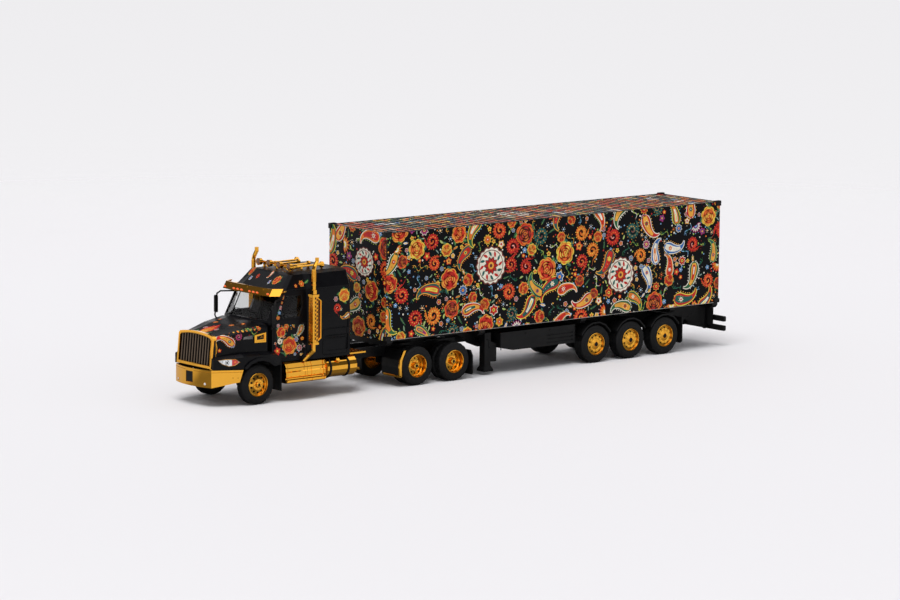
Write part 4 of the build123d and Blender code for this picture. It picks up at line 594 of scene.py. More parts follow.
class Print:
    """Flat shapes in layers, in millimetres on the print's own plane."""

    def __init__(self, seed):
        self.dice = random.Random(seed)
        self.shapes, self.spots = [], []

    def pen(self, x, y, size, turn=0.0, flip=1):
        return Pen(self, x, y, size, turn, flip)

    def place(self, count, size, area, tight):
        """Spots for motifs of one size that keep clear of those already there."""
        x0, y0, x1, y1 = area
        found = []
        for _ in range(count):
            for _ in range(PLACE_TRIES):
                r = size * self.dice.uniform(0.85, 1.15)
                x = self.dice.uniform(x0 - r * PLACE_OVER, x1 + r * PLACE_OVER)
                y = self.dice.uniform(y0 - r * PLACE_OVER, y1 + r * PLACE_OVER)
                if all((x - a) ** 2 + (y - b) ** 2 > ((r + c) * tight) ** 2 for a, b, c in self.spots):
                    self.spots.append((x, y, r))
                    found.append((x, y, r))
                    break
            else:
                break
        return found


class Pen:
    """Draws in a motif's own units: one unit is its radius."""

    def __init__(self, sheet, x, y, size, turn, flip):
        self.sheet, self.x, self.y, self.size = sheet, x, y, size
        self.cos, self.sin, self.flip = math.cos(turn), math.sin(turn), flip

    def at(self, p):
        u, v = p[0] * self.flip * self.size, p[1] * self.size
        return (self.x + u * self.cos - v * self.sin, self.y + u * self.sin + v * self.cos)

    def shape(self, points, colour, layer):
        self.sheet.shapes.append((layer, colour, [self.at(p) for p in points]))

    def disc(self, u, v, r, colour, layer, sides=10):
        self.shape(ring_of(r, sides, u, v), colour, layer)

    def discs(self, turns, far, r, colour, layer, sides, cx=0.0, cy=0.0):
        """Discs in a ring."""
        for a in turns:
            self.disc(*polar(far, a, cx, cy), r, colour, layer, sides)

    def lobed(self, r, lobes, depth, colour, layer, turn=0.0, sides=30):
        points = [polar(r * (1 - depth * 0.5 * (1 - math.cos(lobes * (a - turn)))), a) for a in angles(sides, turn)]
        for k in range(sides):
            self.shape([(0.0, 0.0), points[k], points[(k + 1) % sides]], colour, layer)

    def sweep(self, path, widths, colour, layer):
        """A band along a path, and its two edges."""
        left, right = [], []
        count = len(path)
        for k, (x, y) in enumerate(path):
            (ax, ay), (bx, by) = path[max(0, k - 1)], path[min(count - 1, k + 1)]
            length = math.hypot(bx - ax, by - ay) or 1.0
            nx, ny = -(by - ay) / length * widths[k], (bx - ax) / length * widths[k]
            left.append((x + nx, y + ny))
            right.append((x - nx, y - ny))
        for k in range(count - 1):
            self.shape([left[k], right[k], right[k + 1], left[k + 1]], colour, layer)
        return left, right


def beyond(point, spine, far):
    """A point moved on, away from its place on the spine."""
    dx, dy = point[0] - spine[0], point[1] - spine[1]
    length = math.hypot(dx, dy) or 1.0
    return point[0] + dx / length * far, point[1] + dy / length * far


def petal(pen, a, r0, r1, wide, colour, layer, bend=0.0, cx=0.0, cy=0.0):
    """A pointed oval from the middle outward."""
    shares = [k / 5 for k in range(6)]
    path = [polar(r0 + (r1 - r0) * s, a + bend * s, cx, cy) for s in shares]
    pen.sweep(path, [wide * math.sin(math.pi * min(0.97, 0.08 + s * 0.9)) ** 0.8 for s in shares], colour, layer)


def leaf(pen, a, r0, r1, wide, colour, vein, layer, bend=0.3):
    petal(pen, a, r0, r1, wide, colour, layer, bend)
    petal(pen, a, r0 + 0.06, r1 - 0.12, wide * 0.16, vein, layer + 1, bend)


def rose(pen, deep, mid, light, edge, green, vein):
    """A cabbage rose: leaves, lobed base, rings of bowed petals, rolled heart."""
    dice = pen.sheet.dice
    for a in angles(4):
        leaf(pen, a + dice.uniform(0, 0.9), 0.6, dice.uniform(1.15, 1.4), 0.22, green, vein, 0, 0.4)
    for size, tone, layer in ((1.0, edge, 1), (0.94, mid, 2)):
        pen.discs(angles(7, 0.2), 0.56, 0.42 * size + (size - 0.97), tone, layer, 12)
        pen.disc(0, 0, 0.66, tone, layer, 14)
    rings = ((0.72, 6, 0.13, light), (0.50, 5, 0.11, mid), (0.30, 4, 0.09, light))
    for ring, (r, count, wide, tone) in enumerate(rings):
        for k, a in enumerate(angles(count, ring * 0.7 + 0.25)):
            bows = [(s / 5, math.sin(math.pi * s / 5)) for s in range(6)]
            path = [polar(r * (1 + 0.10 * bow), a + 2 * math.pi / count * 0.92 * t) for t, bow in bows]
            outer = [wide * (0.35 + 0.65 * bow) for _, bow in bows]
            inner = [wide * 0.55 * (0.1 + 0.9 * bow) for _, bow in bows]
            pen.sweep([(x * 0.93, y * 0.93) for x, y in path], outer, deep, 3)
            pen.sweep(path, inner, tone if (k + ring) % 2 else edge, 4)
    shares = [k / 11 for k in range(12)]
    path = [polar(0.20 * (1 - t * 0.85), dice.uniform(0, 0.05) + 4.6 * t * math.pi / 2) for t in shares]
    pen.disc(0, 0, 0.2, deep, 3)
    pen.sweep(path, [0.045 * (1 - 0.5 * k / 11) for k in range(12)], edge, 4)


def drop_path(steps=18):
    """Spine and half widths of a drop whose tail bends over and curls."""
    path, widths = [], []
    x, y, way = -0.15, -0.95, 1.95
    for k in range(steps + 1):
        t = k / steps
        path.append((x, y))
        if t < 0.26:
            w = 0.46 * math.sqrt(max(0.0, 1 - ((t - 0.26) / 0.26) ** 2))
        else:
            w = 0.46 * (1 - (t - 0.26) / 0.74) ** 0.9
        widths.append(max(w, 0.015))
        way -= 0.02 + 0.30 * t ** 2.2
        x, y = polar(2.75 / steps, way, x, y)
    mid_x, mid_y = [(max(row) + min(row)) / 2 for row in zip(*path)]
    return [(x - mid_x, y - mid_y) for x, y in path], widths


DROP_PATH, DROP_WIDTHS = drop_path()


def paisley(pen, edge, body, inner, heart, dots, style=0):
    """A drop in a drop, with one of three hearts and beads round its head."""

    def core(first, last, share, colour, layer):
        pen.sweep(DROP_PATH[first:last], [w * share for w in DROP_WIDTHS[first:last]], colour, layer)

    x, y = DROP_PATH[5]
    left, right = pen.sweep(DROP_PATH, [w + 0.075 for w in DROP_WIDTHS], edge, 1)
    core(0, None, 1.0, body, 2)
    core(1, 14, 0.64, inner, 3)
    if style == 0:
        for a in angles(6):
            petal(pen, a, 0.03, 0.22, 0.06, heart, 4, 0.0, x, y)
        pen.disc(x, y, 0.06, edge, 5, 8)
        for k in (8, 10, 12):
            pen.disc(*DROP_PATH[k], 0.06 - 0.003 * k, heart, 4, 7)
    elif style == 1:
        core(2, 11, 0.34, heart, 4)
        core(3, 8, 0.14, edge, 5)
    else:
        pen.disc(x, y, 0.17, heart, 4, 10)
        pen.disc(x, y, 0.09, body, 5, 8)
        pen.discs(angles(7), 0.25, 0.035, edge, 4, 6, x, y)
    for k in range(0, 13, 2):
        for point in (left[k], right[k]):
            pen.disc(*beyond(point, DROP_PATH[k], 0.09), 0.05, dots, 1, 6)


def daisy(pen, edge, tone, core, seed, count=8):
    for a in angles(count):
        petal(pen, a, 0.1, 1.0, 0.3 * 8 / count, edge, 1)
        petal(pen, a, 0.18, 0.88, 0.2 * 8 / count, tone, 2)
    pen.disc(0, 0, 0.3, core, 3, 10)
    pen.disc(0, 0, 0.15, seed, 4, 8)


def round_flower(pen, outer, inner, core):
    pen.lobed(1.0, 5, 0.34, outer, 1, 0.3)
    pen.lobed(0.72, 5, 0.34, inner, 2, 0.3)
    pen.disc(0, 0, 0.28, core, 3, 9)
    pen.discs(angles(5, 0.3), 0.5, 0.06, core, 3, 6)


def half_flower(pen, outer, inner, core, tip):
    """A fan of petals over a banded cup."""
    for k in range(7):
        a = math.pi * (0.06 + 0.88 * k / 6)
        petal(pen, a, 0.15, 1.0, 0.2, outer, 1)
        petal(pen, a, 0.3, 0.85, 0.10, inner, 2)
        pen.disc(*polar(1.08, a), 0.06, tip, 1, 6)
    for r, steps, colour, layer in ((0.42, 9, core, 3), (0.24, 7, tip, 4)):
        pen.shape([polar(r, math.pi * k / steps) for k in range(steps + 1)], colour, layer)


def fiddlehead(pen, body, seeds, line):
    """A curled frond, full at its back, with scallops outside and seeds inside."""
    path, widths = [], []
    for k in range(29):
        t = k / 28
        path.append(polar(0.08 + 0.56 * t ** 0.95, 3 * math.pi * t))
        widths.append(0.04 + 0.16 * math.sin(math.pi * min(1.0, 0.12 + t * 0.86)) * (0.35 + 0.65 * t))
    way = math.atan2(path[-1][1] - path[-2][1], path[-1][0] - path[-2][0])
    last = widths[-1]
    for k in range(8):
        way += 0.10 if k < 3 else -0.13
        path.append(polar(1.15 / 8, way, *path[-1]))
        widths.append(max(0.012, last * (1 - (k + 1) / 8.4)))
    _, right = pen.sweep(path, widths, body, 2)
    for k in range(8, len(path) - 5):
        pen.disc(*beyond(right[k], path[k], 0.035), 0.095, body, 1, 7)
        if k % 2 == 0:
            pen.disc(*beyond(right[k], path[k], 0.15), 0.045, seeds, 1, 6)
    for k in range(6, len(path) - 6, 2):
        pen.disc(*path[k], widths[k] * 0.42, seeds, 3, 7)
    pen.sweep(path[:9], [w * 0.3 for w in widths[:9]], line, 3)


def tendril(pen, line, fruit, leafy):
    """A thin wave with a curl at one end, small leaves and berries."""
    path = []
    for k in range(19):
        wave, curl = k / 18 / 0.7, (k / 18 - 0.7) / 0.3
        if k / 18 < 0.7:
            path.append((-1.0 + 1.4 * wave, 0.34 * math.sin(2.2 * math.pi * wave * 0.8)))
        else:
            path.append(polar(0.26 * (1 - 0.75 * curl), -0.6 - 4.6 * curl, 0.46, -0.10))
    pen.sweep(path, [0.022 + 0.022 * math.sin(math.pi * k / 18) for k in range(19)], line, 0)
    for k, side in ((3, 1), (6, -1), (9, 1)):
        petal(pen, side * 1.1, 0.02, 0.34, 0.08, leafy, 1, 0.2, *path[k])
    pen.disc(*path[0], 0.07, fruit, 1, 7)
    pen.disc(0.0, 0.48, 0.05, fruit, 0, 6)
    pen.disc(-0.55, -0.4, 0.05, fruit, 0, 6)


def sprig(pen, stem, leafy, vein):
    path = [(0.10 * math.sin(2.5 * k / 8), -1 + 2 * k / 8) for k in range(9)]
    pen.sweep(path, [0.03] * 9, stem, 0)
    for k in range(1, 7):
        for side in (0.62, math.pi - 0.62):
            petal(pen, side, 0.02, 0.42 - 0.03 * k, 0.09, leafy if k % 2 else vein, 1, 0.1, *path[k])
    petal(pen, math.pi / 2, 0.0, 0.4, 0.1, leafy, 1, 0.0, *path[-2])


def nested_drops(pen, outer, middle, inner):
    """Three small drops in a fan."""
    for turn, first, second, layer in ((-0.6, outer, middle, 1), (0.0, middle, inner, 3), (0.6, outer, middle, 1)):
        petal(pen, math.pi / 2 + turn, -0.55, 0.85 - abs(turn) * 0.3, 0.26, first, layer)
        petal(pen, math.pi / 2 + turn, -0.35, 0.45, 0.12, second, layer + 1)
    pen.disc(0, -0.72, 0.12, inner, 2, 8)


def beads(pen, tone, other):
    pen.disc(0, 0, 0.42, tone, 0, 8)
    pen.disc(0, 0, 0.2, other, 1, 7)
    pen.discs(angles(6), 0.8, 0.14, other, 0, 6)


def medallion(pen, ground, line, flower, core, leafy):
    """A large pale medallion: scalloped rim, banded ring, one rosette and a wreath of drops."""
    pen.lobed(1.08, 16, 0.08, line, 1, 0.0, 64)
    pen.lobed(1.0, 16, 0.08, ground, 2, 0.0, 64)
    outer, inner = ring_of(0.86, 32), ring_of(0.86 - 0.045, 32)
    for k in range(32):
        m = (k + 1) % 32
        pen.shape([outer[k], outer[m], inner[m], inner[k]], line, 3)
    pen.discs(angles(16, math.pi / 16), 0.93, 0.03, flower, 3, 6)
    for k, a in enumerate(angles(12)):
        petal(pen, a, 0.52, 0.80, 0.075, leafy if k % 2 else flower, 3, 0.25)
    for a in angles(10):
        petal(pen, a, 0.08, 0.50, 0.13, line, 3)
        petal(pen, a, 0.14, 0.44, 0.075, flower, 4)
    pen.disc(0, 0, 0.2, core, 5, 12)
    pen.disc(0, 0, 0.1, line, 6, 9)


ROSES = [
    ("red", "orange_red", "orange", "amber"), ("red", "red", "orange_red", "amber"),
    ("brown", "red", "orange_red", "orange"), ("orange_red", "orange", "amber", "yellow"),
]
DROPS = [
    ("cream", "green", "amber", "red", "cream"), ("yellow", "red", "teal", "cream", "amber"),
    ("cream", "orange", "red", "cream", "lime"), ("amber", "teal", "red", "yellow", "orange"),
    ("yellow", "green", "orange", "cream", "sky"), ("cream", "red", "amber", "teal", "amber"),
    ("lime", "teal", "amber", "magenta", "cream"), ("cream", "blue", "cream", "orange", "amber"),
]
FRONDS = [
    ("red", "orange", "cream"), ("orange_red", "amber", "yellow"), ("red", "amber", "amber"), ("teal", "amber", "red"),
    ("orange", "yellow", "red"),
]
FANS = [
    ("orange_red", "amber", "cream", "yellow"), ("red", "orange", "amber", "cream"),
    ("magenta", "cream", "purple", "sky"),
]
AMBER_DAISY, BLUE_DAISY, PINK_DAISY = (
    ("amber", "red", "yellow", "brown"), ("cream", "blue", "amber", "red"), ("cream", "magenta", "yellow", "purple"),
)
DAISIES = [
    AMBER_DAISY, BLUE_DAISY, ("yellow", "orange", "red", "cream"), PINK_DAISY, ("cream", "red", "yellow", "brown"),
]
TENDRILS = [
    ("lime", "amber", "green"), ("cream", "red", "lime"), ("green", "cream", "teal"), ("amber", "amber", "green"),
    ("teal", "red", "lime"), ("sky", "cream", "teal"),
]
FIRE_FLOWER, BROWN_FLOWER = ("red", "orange_red", "yellow"), ("orange_red", "amber", "brown")
SUN_FLOWER, SKY_FLOWER = ("red", "orange", "yellow"), ("sky", "blue", "cream")
SPRAYS = [("teal", "amber", "red"), ("blue", "cream", "amber"), ("lime", "orange", "cream")]
SMALL_FLOWERS = [FIRE_FLOWER, ("magenta", "purple", "amber"), ("amber", "cream", "red"), BROWN_FLOWER]
TINY_FLOWERS = [SUN_FLOWER, SKY_FLOWER, ("yellow", "amber", "red")]
BEADS = [("amber", "cream"), ("red", "amber"), ("sky", "cream")]
DOTS = ("cream", "amber", "red", "lime", "sky", "orange")
FIELD_AREA = 190.0 * 45.0


def cream_daisy(pen, tone):
    daisy(pen, "cream", tone, "yellow", "brown", 5)


def green_leaf(pen, colour="green", vein="lime", wide=0.4, bend=0.3):
    leaf(pen, 0, -1, 1, wide, colour, vein, 0, bend)


def small_motif(pen, k):
    if k % 3 == 0:
        nested_drops(pen, *SPRAYS[k // 3 % 3])
    elif k % 3 == 1:
        sprig(pen, "lime", "green", "teal")
    else:
        round_flower(pen, *SMALL_FLOWERS[k // 3 % 4])


def tiny_motif(pen, k):
    if k % 4 == 0:
        beads(pen, *BEADS[k // 4 % 3])
    elif k % 4 == 1:
        cream_daisy(pen, ("red", "amber", "blue", "magenta")[k // 4 % 4])
    elif k % 4 == 2:
        green_leaf(pen, ("green", "lime", "teal")[k // 4 % 3], "cream", 0.42)
    else:
        round_flower(pen, *TINY_FLOWERS[k // 4 % 3])


# Count on a whole side, radius, closeness, stretch, whether some are mirrored, and how the k-th is drawn
MOTIFS = [
    (13, 4.7, 0.95, 1.0, False, lambda pen, k: rose(pen, *ROSES[k % 4], ("green", "teal")[k % 2], "lime")),
    (30, 4.5, 0.84, 1.12, True, lambda pen, k: paisley(pen, *DROPS[k % 8], k % 3)),
    (24, 4.2, 0.86, 1.1, True, lambda pen, k: fiddlehead(pen, *FRONDS[k % 5])),
    (18, 2.6, 0.9, 1.0, False, lambda pen, k: rose(pen, *ROSES[(k * 3 + 1) % 4], ("teal", "green")[k % 2], "lime")),
    (6, 3.2, 0.95, 1.0, False, lambda pen, k: half_flower(pen, *FANS[k % 3])),
    (12, 2.3, 0.95, 1.0, False, lambda pen, k: daisy(pen, *DAISIES[k % 5], (8, 6, 10)[k % 3])),
    (46, 3.0, 0.8, 1.15, True, lambda pen, k: tendril(pen, *TENDRILS[k % 6])),
    (36, 1.9, 0.95, 1.0, False, small_motif),
    (150, 1.15, 0.95, 1.0, False, tiny_motif),
]


def fill(sheet, area, dense, big):
    """A whole panel of print, its medallions first."""
    dice = sheet.dice
    x0, y0, x1, y1 = area
    share = (x1 - x0) * (y1 - y0) / FIELD_AREA * dense
    for x, y, r in big:
        sheet.spots.append((x, y, r))
        medallion(sheet.pen(x, y, r * 0.92, dice.uniform(-0.3, 0.3)), "cream", "brown", "red", "amber", "teal")
    for count, size, tight, stretch, flips, draw in MOTIFS:
        for k, (x, y, r) in enumerate(sheet.place(max(1, round(count * share)), size, area, tight)):
            turn = dice.uniform(0, 6.3)
            draw(sheet.pen(x, y, r * stretch, turn, dice.choice(SIDES) if flips else 1), k)
    for k, (x, y, r) in enumerate(sheet.place(max(1, round(260 * share)), 0.5, area, 0.95)):
        sheet.pen(x, y, r).disc(0, 0, 0.8, DOTS[k % 6], 0, 7)


BASE_LIFT, LAYER_LIFT, CELL = 0.012, 0.007, 6.0


def clip(poly, tri):
    """What a convex triangle leaves of a polygon."""
    for (ax, ay), (bx, by) in zip(tri, tri[1:] + tri[:1]):
        sides = [(bx - ax) * (p[1] - ay) - (by - ay) * (p[0] - ax) for p in poly]
        made = []
        for i, p in enumerate(poly):
            j = (i + 1) % len(poly)
            if sides[i] >= 0:
                made.append(p)
            if (sides[i] >= 0) != (sides[j] >= 0):
                t = sides[i] / (sides[i] - sides[j])
                made.append((p[0] + t * (poly[j][0] - p[0]), p[1] + t * (poly[j][1] - p[1])))
        poly = made
    return poly


def extent(points):
    xs, ys = zip(*points)
    return min(xs), max(xs), min(ys), max(ys)


def cells(box):
    """Cells of a grid that a flat box touches."""
    across, upward = [range(math.floor(box[k] / CELL), math.floor(box[k + 1] / CELL) + 1) for k in (0, 2)]
    return [(i, j) for i in across for j in upward]


def facets(names, facing, keep, limit):
    """The flat triangles of CAD nodes that face a way."""
    found = []
    for name in names:
        mesh = nodes[name].data
        mesh.calc_loop_triangles()
        for tri in mesh.loop_triangles:
            corners = [mesh.vertices[i].co / MM for i in tri.vertices]
            normal = (corners[1] - corners[0]).cross(corners[2] - corners[0])
            if normal.length < 1e-6:
                continue
            normal.normalize()
            if normal.dot(facing) > limit and keep(sum(corners, Vector()) / 3):
                found.append((corners, normal))
    return found


def laid(name, body, sheet, names, keep, limit, origin, u, v):
    """Lays a print on CAD nodes: each shape is cut at their facets' edges and lies flat on them."""
    origin, u, v = Vector(origin), Vector(u), Vector(v)
    facing = u.cross(v)
    flat, grid = [], {}
    for corners, normal in facets(names, facing, keep, limit):
        tri = [((c - origin).dot(u), (c - origin).dot(v)) for c in corners]
        (ax, ay), (bx, by), (cx, cy) = tri
        if (bx - ax) * (cy - ay) - (cx - ax) * (by - ay) < 0:
            tri = tri[::-1]
        box = extent(tri)
        for cell in cells(box):
            grid.setdefault(cell, []).append(len(flat))
        flat.append((tri, box, normal, corners[0]))
    shape = Shape()
    for layer, colour, points in sheet.shapes:
        xa, xb, ya, yb = extent(points)
        hits = set()
        for cell in cells((xa, xb, ya, yb)):
            hits.update(grid.get(cell, ()))
        turn = sum(points[i - 1][0] * points[i][1] - points[i][0] * points[i - 1][1] for i in range(len(points)))
        poly = points if turn > 0 else points[::-1]
        for index in sorted(hits):
            tri, (ta, tb, tc, td), normal, corner = flat[index]
            if xb < ta or xa > tb or yb < tc or ya > td:
                continue
            top = []
            for x, y in clip(poly, tri):
                p = origin + u * x + v * y
                p = p + facing * ((corner - p).dot(normal) / normal.dot(facing))
                top.append(p + normal * (BASE_LIFT + LAYER_LIFT * layer))
            if len(top) > 2:
                quad(shape, top, PRINTS[colour])
    made = shape.made(name, body)
    work = bmesh.new()
    work.from_mesh(made.data)
    bmesh.ops.dissolve_degenerate(work, dist=2e-7, edges=work.edges[:])
    work.to_mesh(made.data)
    work.free()


FRONT_X, REAR_X, BASE_Z, TOP_Z, HALF = 54.5, -136.0, 20.4, 65.65, 19.05
LONG, HIGH, WIDE = FRONT_X - REAR_X, TOP_Z - BASE_Z, 2 * HALF
BORDERED = ["container_sides", "container_frame"]
# Name, seed, size, density, medallions, nodes, test of a facet's middle, corner, direction across and upward
PANELS = [
    ("side_left", 11, (LONG, HIGH), 1.0, [(LONG * 0.30, HIGH * 0.60, 8.6), (LONG * 0.69, HIGH * 0.38, 8.2)],
     BORDERED, lambda p: p.y > HALF - 0.05, (FRONT_X, 0, BASE_Z), (-1, 0, 0), UP),
    ("side_right", 23, (LONG, HIGH), 1.0, [(LONG * 0.22, HIGH * 0.42, 8.4), (LONG * 0.64, HIGH * 0.62, 8.4)],
     BORDERED, lambda p: -p.y > HALF - 0.05, (REAR_X, 0, BASE_Z), (1, 0, 0), UP),
    ("front", 37, (WIDE, HIGH), 1.0, [(WIDE * 0.62, HIGH * 0.7, 6.5)],
     ["container_front", "container_frame"], lambda p: p.x > FRONT_X - 1.5, (FRONT_X, -HALF, BASE_Z), (0, 1, 0), UP),
    ("doors", 41, (WIDE, HIGH), 1.0, [(WIDE * 0.27, HIGH * 0.45, 6.6)],
     ["container_doors"], lambda p: REAR_X + 0.3 < p.x < REAR_X + 0.8, (REAR_X, HALF, BASE_Z), (0, -1, 0), UP),
    ("roof", 53, (LONG, WIDE), 1.7, [(LONG * 0.45, HALF, 8.0)],
     ["container_roof"], lambda p: p.z > TOP_Z - 0.2, (FRONT_X, HALF, TOP_Z), (-1, 0, 0), (0, -1, 0)),
]
for name, seed, size, dense, big, names, keep, corner, across, upward in PANELS:
    sheet = Print(seed)
    fill(sheet, (0, 0, *size), dense, big)
    laid("print_" + name, "trailer", sheet, names, keep, 0.9, corner, across, upward)


# Headlamps: clear forward with a round reflector, red towards the rear
def headlamp_parts():
    shape = Shape()
    for sense in SIDES:
        at, panel = flank(shape, (139.0, 13.1, 16.5), (0.9138, -0.4061), (-12.80, 3.4), sense)
        outline = [(0.15, 0.86), (0.40, 0.96), (0.72, 0.94), (0.85, 0.60), (0.70, 0.22), (0.50, 0.12), (0.28, 0.40)]
        tube(shape, [at(u, v, 0.22) for u, v in outline], 0.12, gold_satin, 6, True, True)
        panel([(0.60, 0.93), (0.72, 0.91), (0.82, 0.60), (0.69, 0.26), (0.60, 0.22)], 0.24, lens_red)
        panel([(0.22, 0.82), (0.40, 0.91), (0.585, 0.91), (0.585, 0.20), (0.50, 0.17), (0.30, 0.42)], 0.24, lens_clear)
        for place, profile, look, sides in (
            ((0.44, 0.56, 0.22), [(0.95, 0.0), (0.98, 0.12), (0.86, 0.16), (0.7, 0.06), (0.42, 0.03)], silver, 28),
            ((0.44, 0.56, 0.22), [(0.42, 0.03), (0.36, 0.22), (0.2, 0.32), (0.001, 0.36)], deep_black, 20),
            ((0.29, 0.66, 0.24), [(0.42, 0.0), (0.42, 0.08), (0.3, 0.1), (0.001, 0.02)], silver, 18),
            ((0.70, 0.58, 0.24), [(0.5, 0.0), (0.44, 0.12), (0.2, 0.16), (0.001, 0.17)], lens_amber, 20),
        ):
            lathe(shape, profile, at(*place), (0.4061, 0.9138 * sense, 0), look, sides)
    shape.made("headlamp_parts", "tractor", "lamp")


# Bumper: a blank black plate, two round fog lamps, a pressed line and its bolts
def bumper_parts():
    shape = Shape()
    slab(shape, (141.08, -2.2, 9.4), (141.32, 2.2, 13.8), black_plastic, 0.08)
    slab(shape, (141.3, -1.75, 10.0), (141.38, 1.75, 13.2), deep_black, 0.03)
    for y in (-1.5, 1.5):
        lathe(shape, [(0.14, 0), (0.14, 0.06), (0.001, 0.09)], (141.32, y, 9.68), (1, 0, 0), black_plastic, 12)
    skin = tree_of("front_bumper")
    for sense in SIDES:
        inward = (0, -sense, 0)
        place, way = (140.02, 9.0 * sense, 9.5), (0.96, 0.28 * sense, 0)
        lathe(shape, [(0.66, 0.0), (0.66, 0.34), (0.56, 0.4), (0.5, 0.34)], place, way, gold, 24)
        lathe(shape, [(0.5, 0.34), (0.34, 0.44), (0.16, 0.49), (0.001, 0.5)], place, way, lens_clear, 24)
        path = trail(skin, [(150, sense * (2.9 + 9.2 * k / 24), 14.35) for k in range(25)], BACKWARD, 0.02)
        path += trail(skin, [(139.1 - 11.2 * k / 13, 30 * sense, 14.35) for k in range(1, 14)], inward, 0.02)
        tube(shape, path, 0.11, gold_satin, 6)
        for x in (129.6, 131.4):
            bolt = [(0.22, 0), (0.22, 0.08), (0.1, 0.14), (0.001, 0.14)]
            seated(shape, skin, (x, 30 * sense, 12.0), inward, bolt, gold, 12)
    shape.made("bumper_parts", "tractor", "gold_chrome")


# Visor: orange marker lamps low on its face
LAMP_SIDES = 16


def visor_parts():
    shape = Shape()
    skin = tree_of("sun_visor")
    for y in (-14.6, -7.4, -4.8, -2.2, 3.2, 5.8, 8.4, 14.6):
        spot, normal = hit(skin, (130, y, 44.45), BACKWARD)
        side = UP.cross(normal).normalized()
        points = [
            spot + normal * lift + side * (0.86 * share * math.cos(a)) + UP * (0.46 * share * math.sin(a))
            for lift, share in ((0.0, 1.0), (0.22, 0.92), (0.38, 0.55)) for a in angles(LAMP_SIDES)
        ]
        faces = [face for k in range(2) for face in band(LAMP_SIDES, k * LAMP_SIDES, (k + 1) * LAMP_SIDES)]
        shape.add(points, faces + [tuple(range(2 * LAMP_SIDES, 3 * LAMP_SIDES))], lens_lit, True)
        tube(shape, points[:LAMP_SIDES], 0.06, bronze, 6, True, True)
    for y in (-11.0, 0.5, 11.0):
        seated(shape, skin, (130, y, 45.9), BACKWARD, [(0.16, 0), (0.16, 0.05), (0.001, 0.09)], gold_satin, 10)
    shape.made("visor_lamps", "tractor", "gold_chrome")


# Grille: a bright bead round the mesh, dark inlays on its flanks and a bead along the hood's front edge
def grille_parts():
    shape = Shape()
    rise = Vector((-1.2, 0, 13.2)).normalized()
    out = Vector((rise.z, 0, -rise.x))

    def at(y, h, w=0.03):
        return Vector((139.3, y, 15.8)) + rise * h + out * w

    crown = [at(y, 12.25 + 1.0 * (1 - (y / 10.8) ** 2)) for y in [10.0 - 20.0 * k / 24 for k in range(25)]]
    ring = [at(10.72, 1.0), at(10.72, 11.4)] + crown + [at(-10.72, 11.4), at(-10.72, 1.0)]
    tube(shape, ring, 0.13, gold, 8, True, True)
    for sense in SIDES:
        low, high = at(11.725 * sense, 1.2, -0.55), at(11.725 * sense, 11.6, -0.55)
        inlay = [low, high, high - Vector((0.95, 0, 0)), low - Vector((1.75, 0, 0))]
        quad(shape, inlay if sense < 0 else inlay[::-1], black_plastic)
        tube(shape, inlay, 0.08, gold, 6, True, True)
    for sense in SIDES:
        starts = []
        for t in [k / 14 for k in range(15)]:
            x = 137.0 + 0.5 * math.cos(math.pi * t) - 0.6 * math.sin(math.pi * t)
            starts.append((x, 30 * sense, 29.4 - 7.6 * t))
        tube(shape, trail(cab_skin, starts, (0, -sense, 0), 0.1), 0.2, gold, 8)
    shape.made("grille_beads", "tractor", "gold_chrome")


# Air intakes: an infill with a curl in the frame and a grey mesh in the slot ahead of it
def intake_parts():
    shape = Shape()
    for sense in SIDES:
        at, panel = flank(shape, (114.0, 16.2, 16.4), (0.9857, -0.1687), (1.0, 1.0), sense)
        panel([(1.3, 9.3), (5.8, 9.3), (5.8, 11.9), (1.3, 12.6)], 0.06, deep_black)
        panel([(1.2, 9.3), (5.9, 9.3), (5.9, 9.95), (1.2, 10.2)], 0.22, gold)
        panel([(4.9, 9.9), (5.9, 9.9), (5.9, 11.95), (4.9, 12.1)], 0.22, gold)
        panel([(1.2, 10.1), (1.75, 10.1), (1.75, 12.5), (1.2, 12.6)], 0.22, gold)
        curl = []
        for k in range(17):
            a, r = 0.4 + 4.6 * k / 16, 0.95 - 0.042 * k
            curl.append(at(3.35 + 1.25 * r * math.cos(a), 11.15 + 0.8 * r * math.sin(a), 0.2))
        tube(shape, curl, 0.15, gold_satin, 6)
        tube(shape, [at(1.75, 11.0, 0.18), at(2.5, 10.9, 0.2)], 0.13, gold_satin, 6)
        panel([(6.6, 10.4), (11.2, 10.4), (10.8, 11.7), (6.6, 12.1)], -0.25, mesh_grey)
        for u in [6.9 + 0.5 * k for k in range(9)]:
            tube(shape, [at(u, 10.45, -0.2), at(u, 11.75, -0.2)], 0.06, mesh_grey, 5)
        for low, high in ((10.9, 10.9), (11.4, 11.3)):
            tube(shape, [at(6.6, low, -0.18), at(11.0, high, -0.18)], 0.06, rail_line, 5)
    shape.made("intake_inserts", "tractor", "black_plastic")


# Exhaust shields: a lattice on the front face and a row of slanted slots on the outer face, both with flat dark bronze
# in their openings as painted shade
SHIELD_X, SHIELD_FRONT, SHIELD_Y, SHIELD_HALF, SHIELD_OUT = 93.5, 94.85, 20.4, 1.3, 22.2
SHIELD_LOW, SHIELD_HIGH = 24.1, 42.4
MESH_PITCH, MESH_SLOPE = 1.3, 0.62
LOZENGE = ((0.30, 0), (0, 0.46), (-0.30, 0), (0, -0.46))
SLOTS, SLOT_PITCH, SLOT_HIGH, SLOT_LEAN = 11, 1.66, 0.86, 0.3


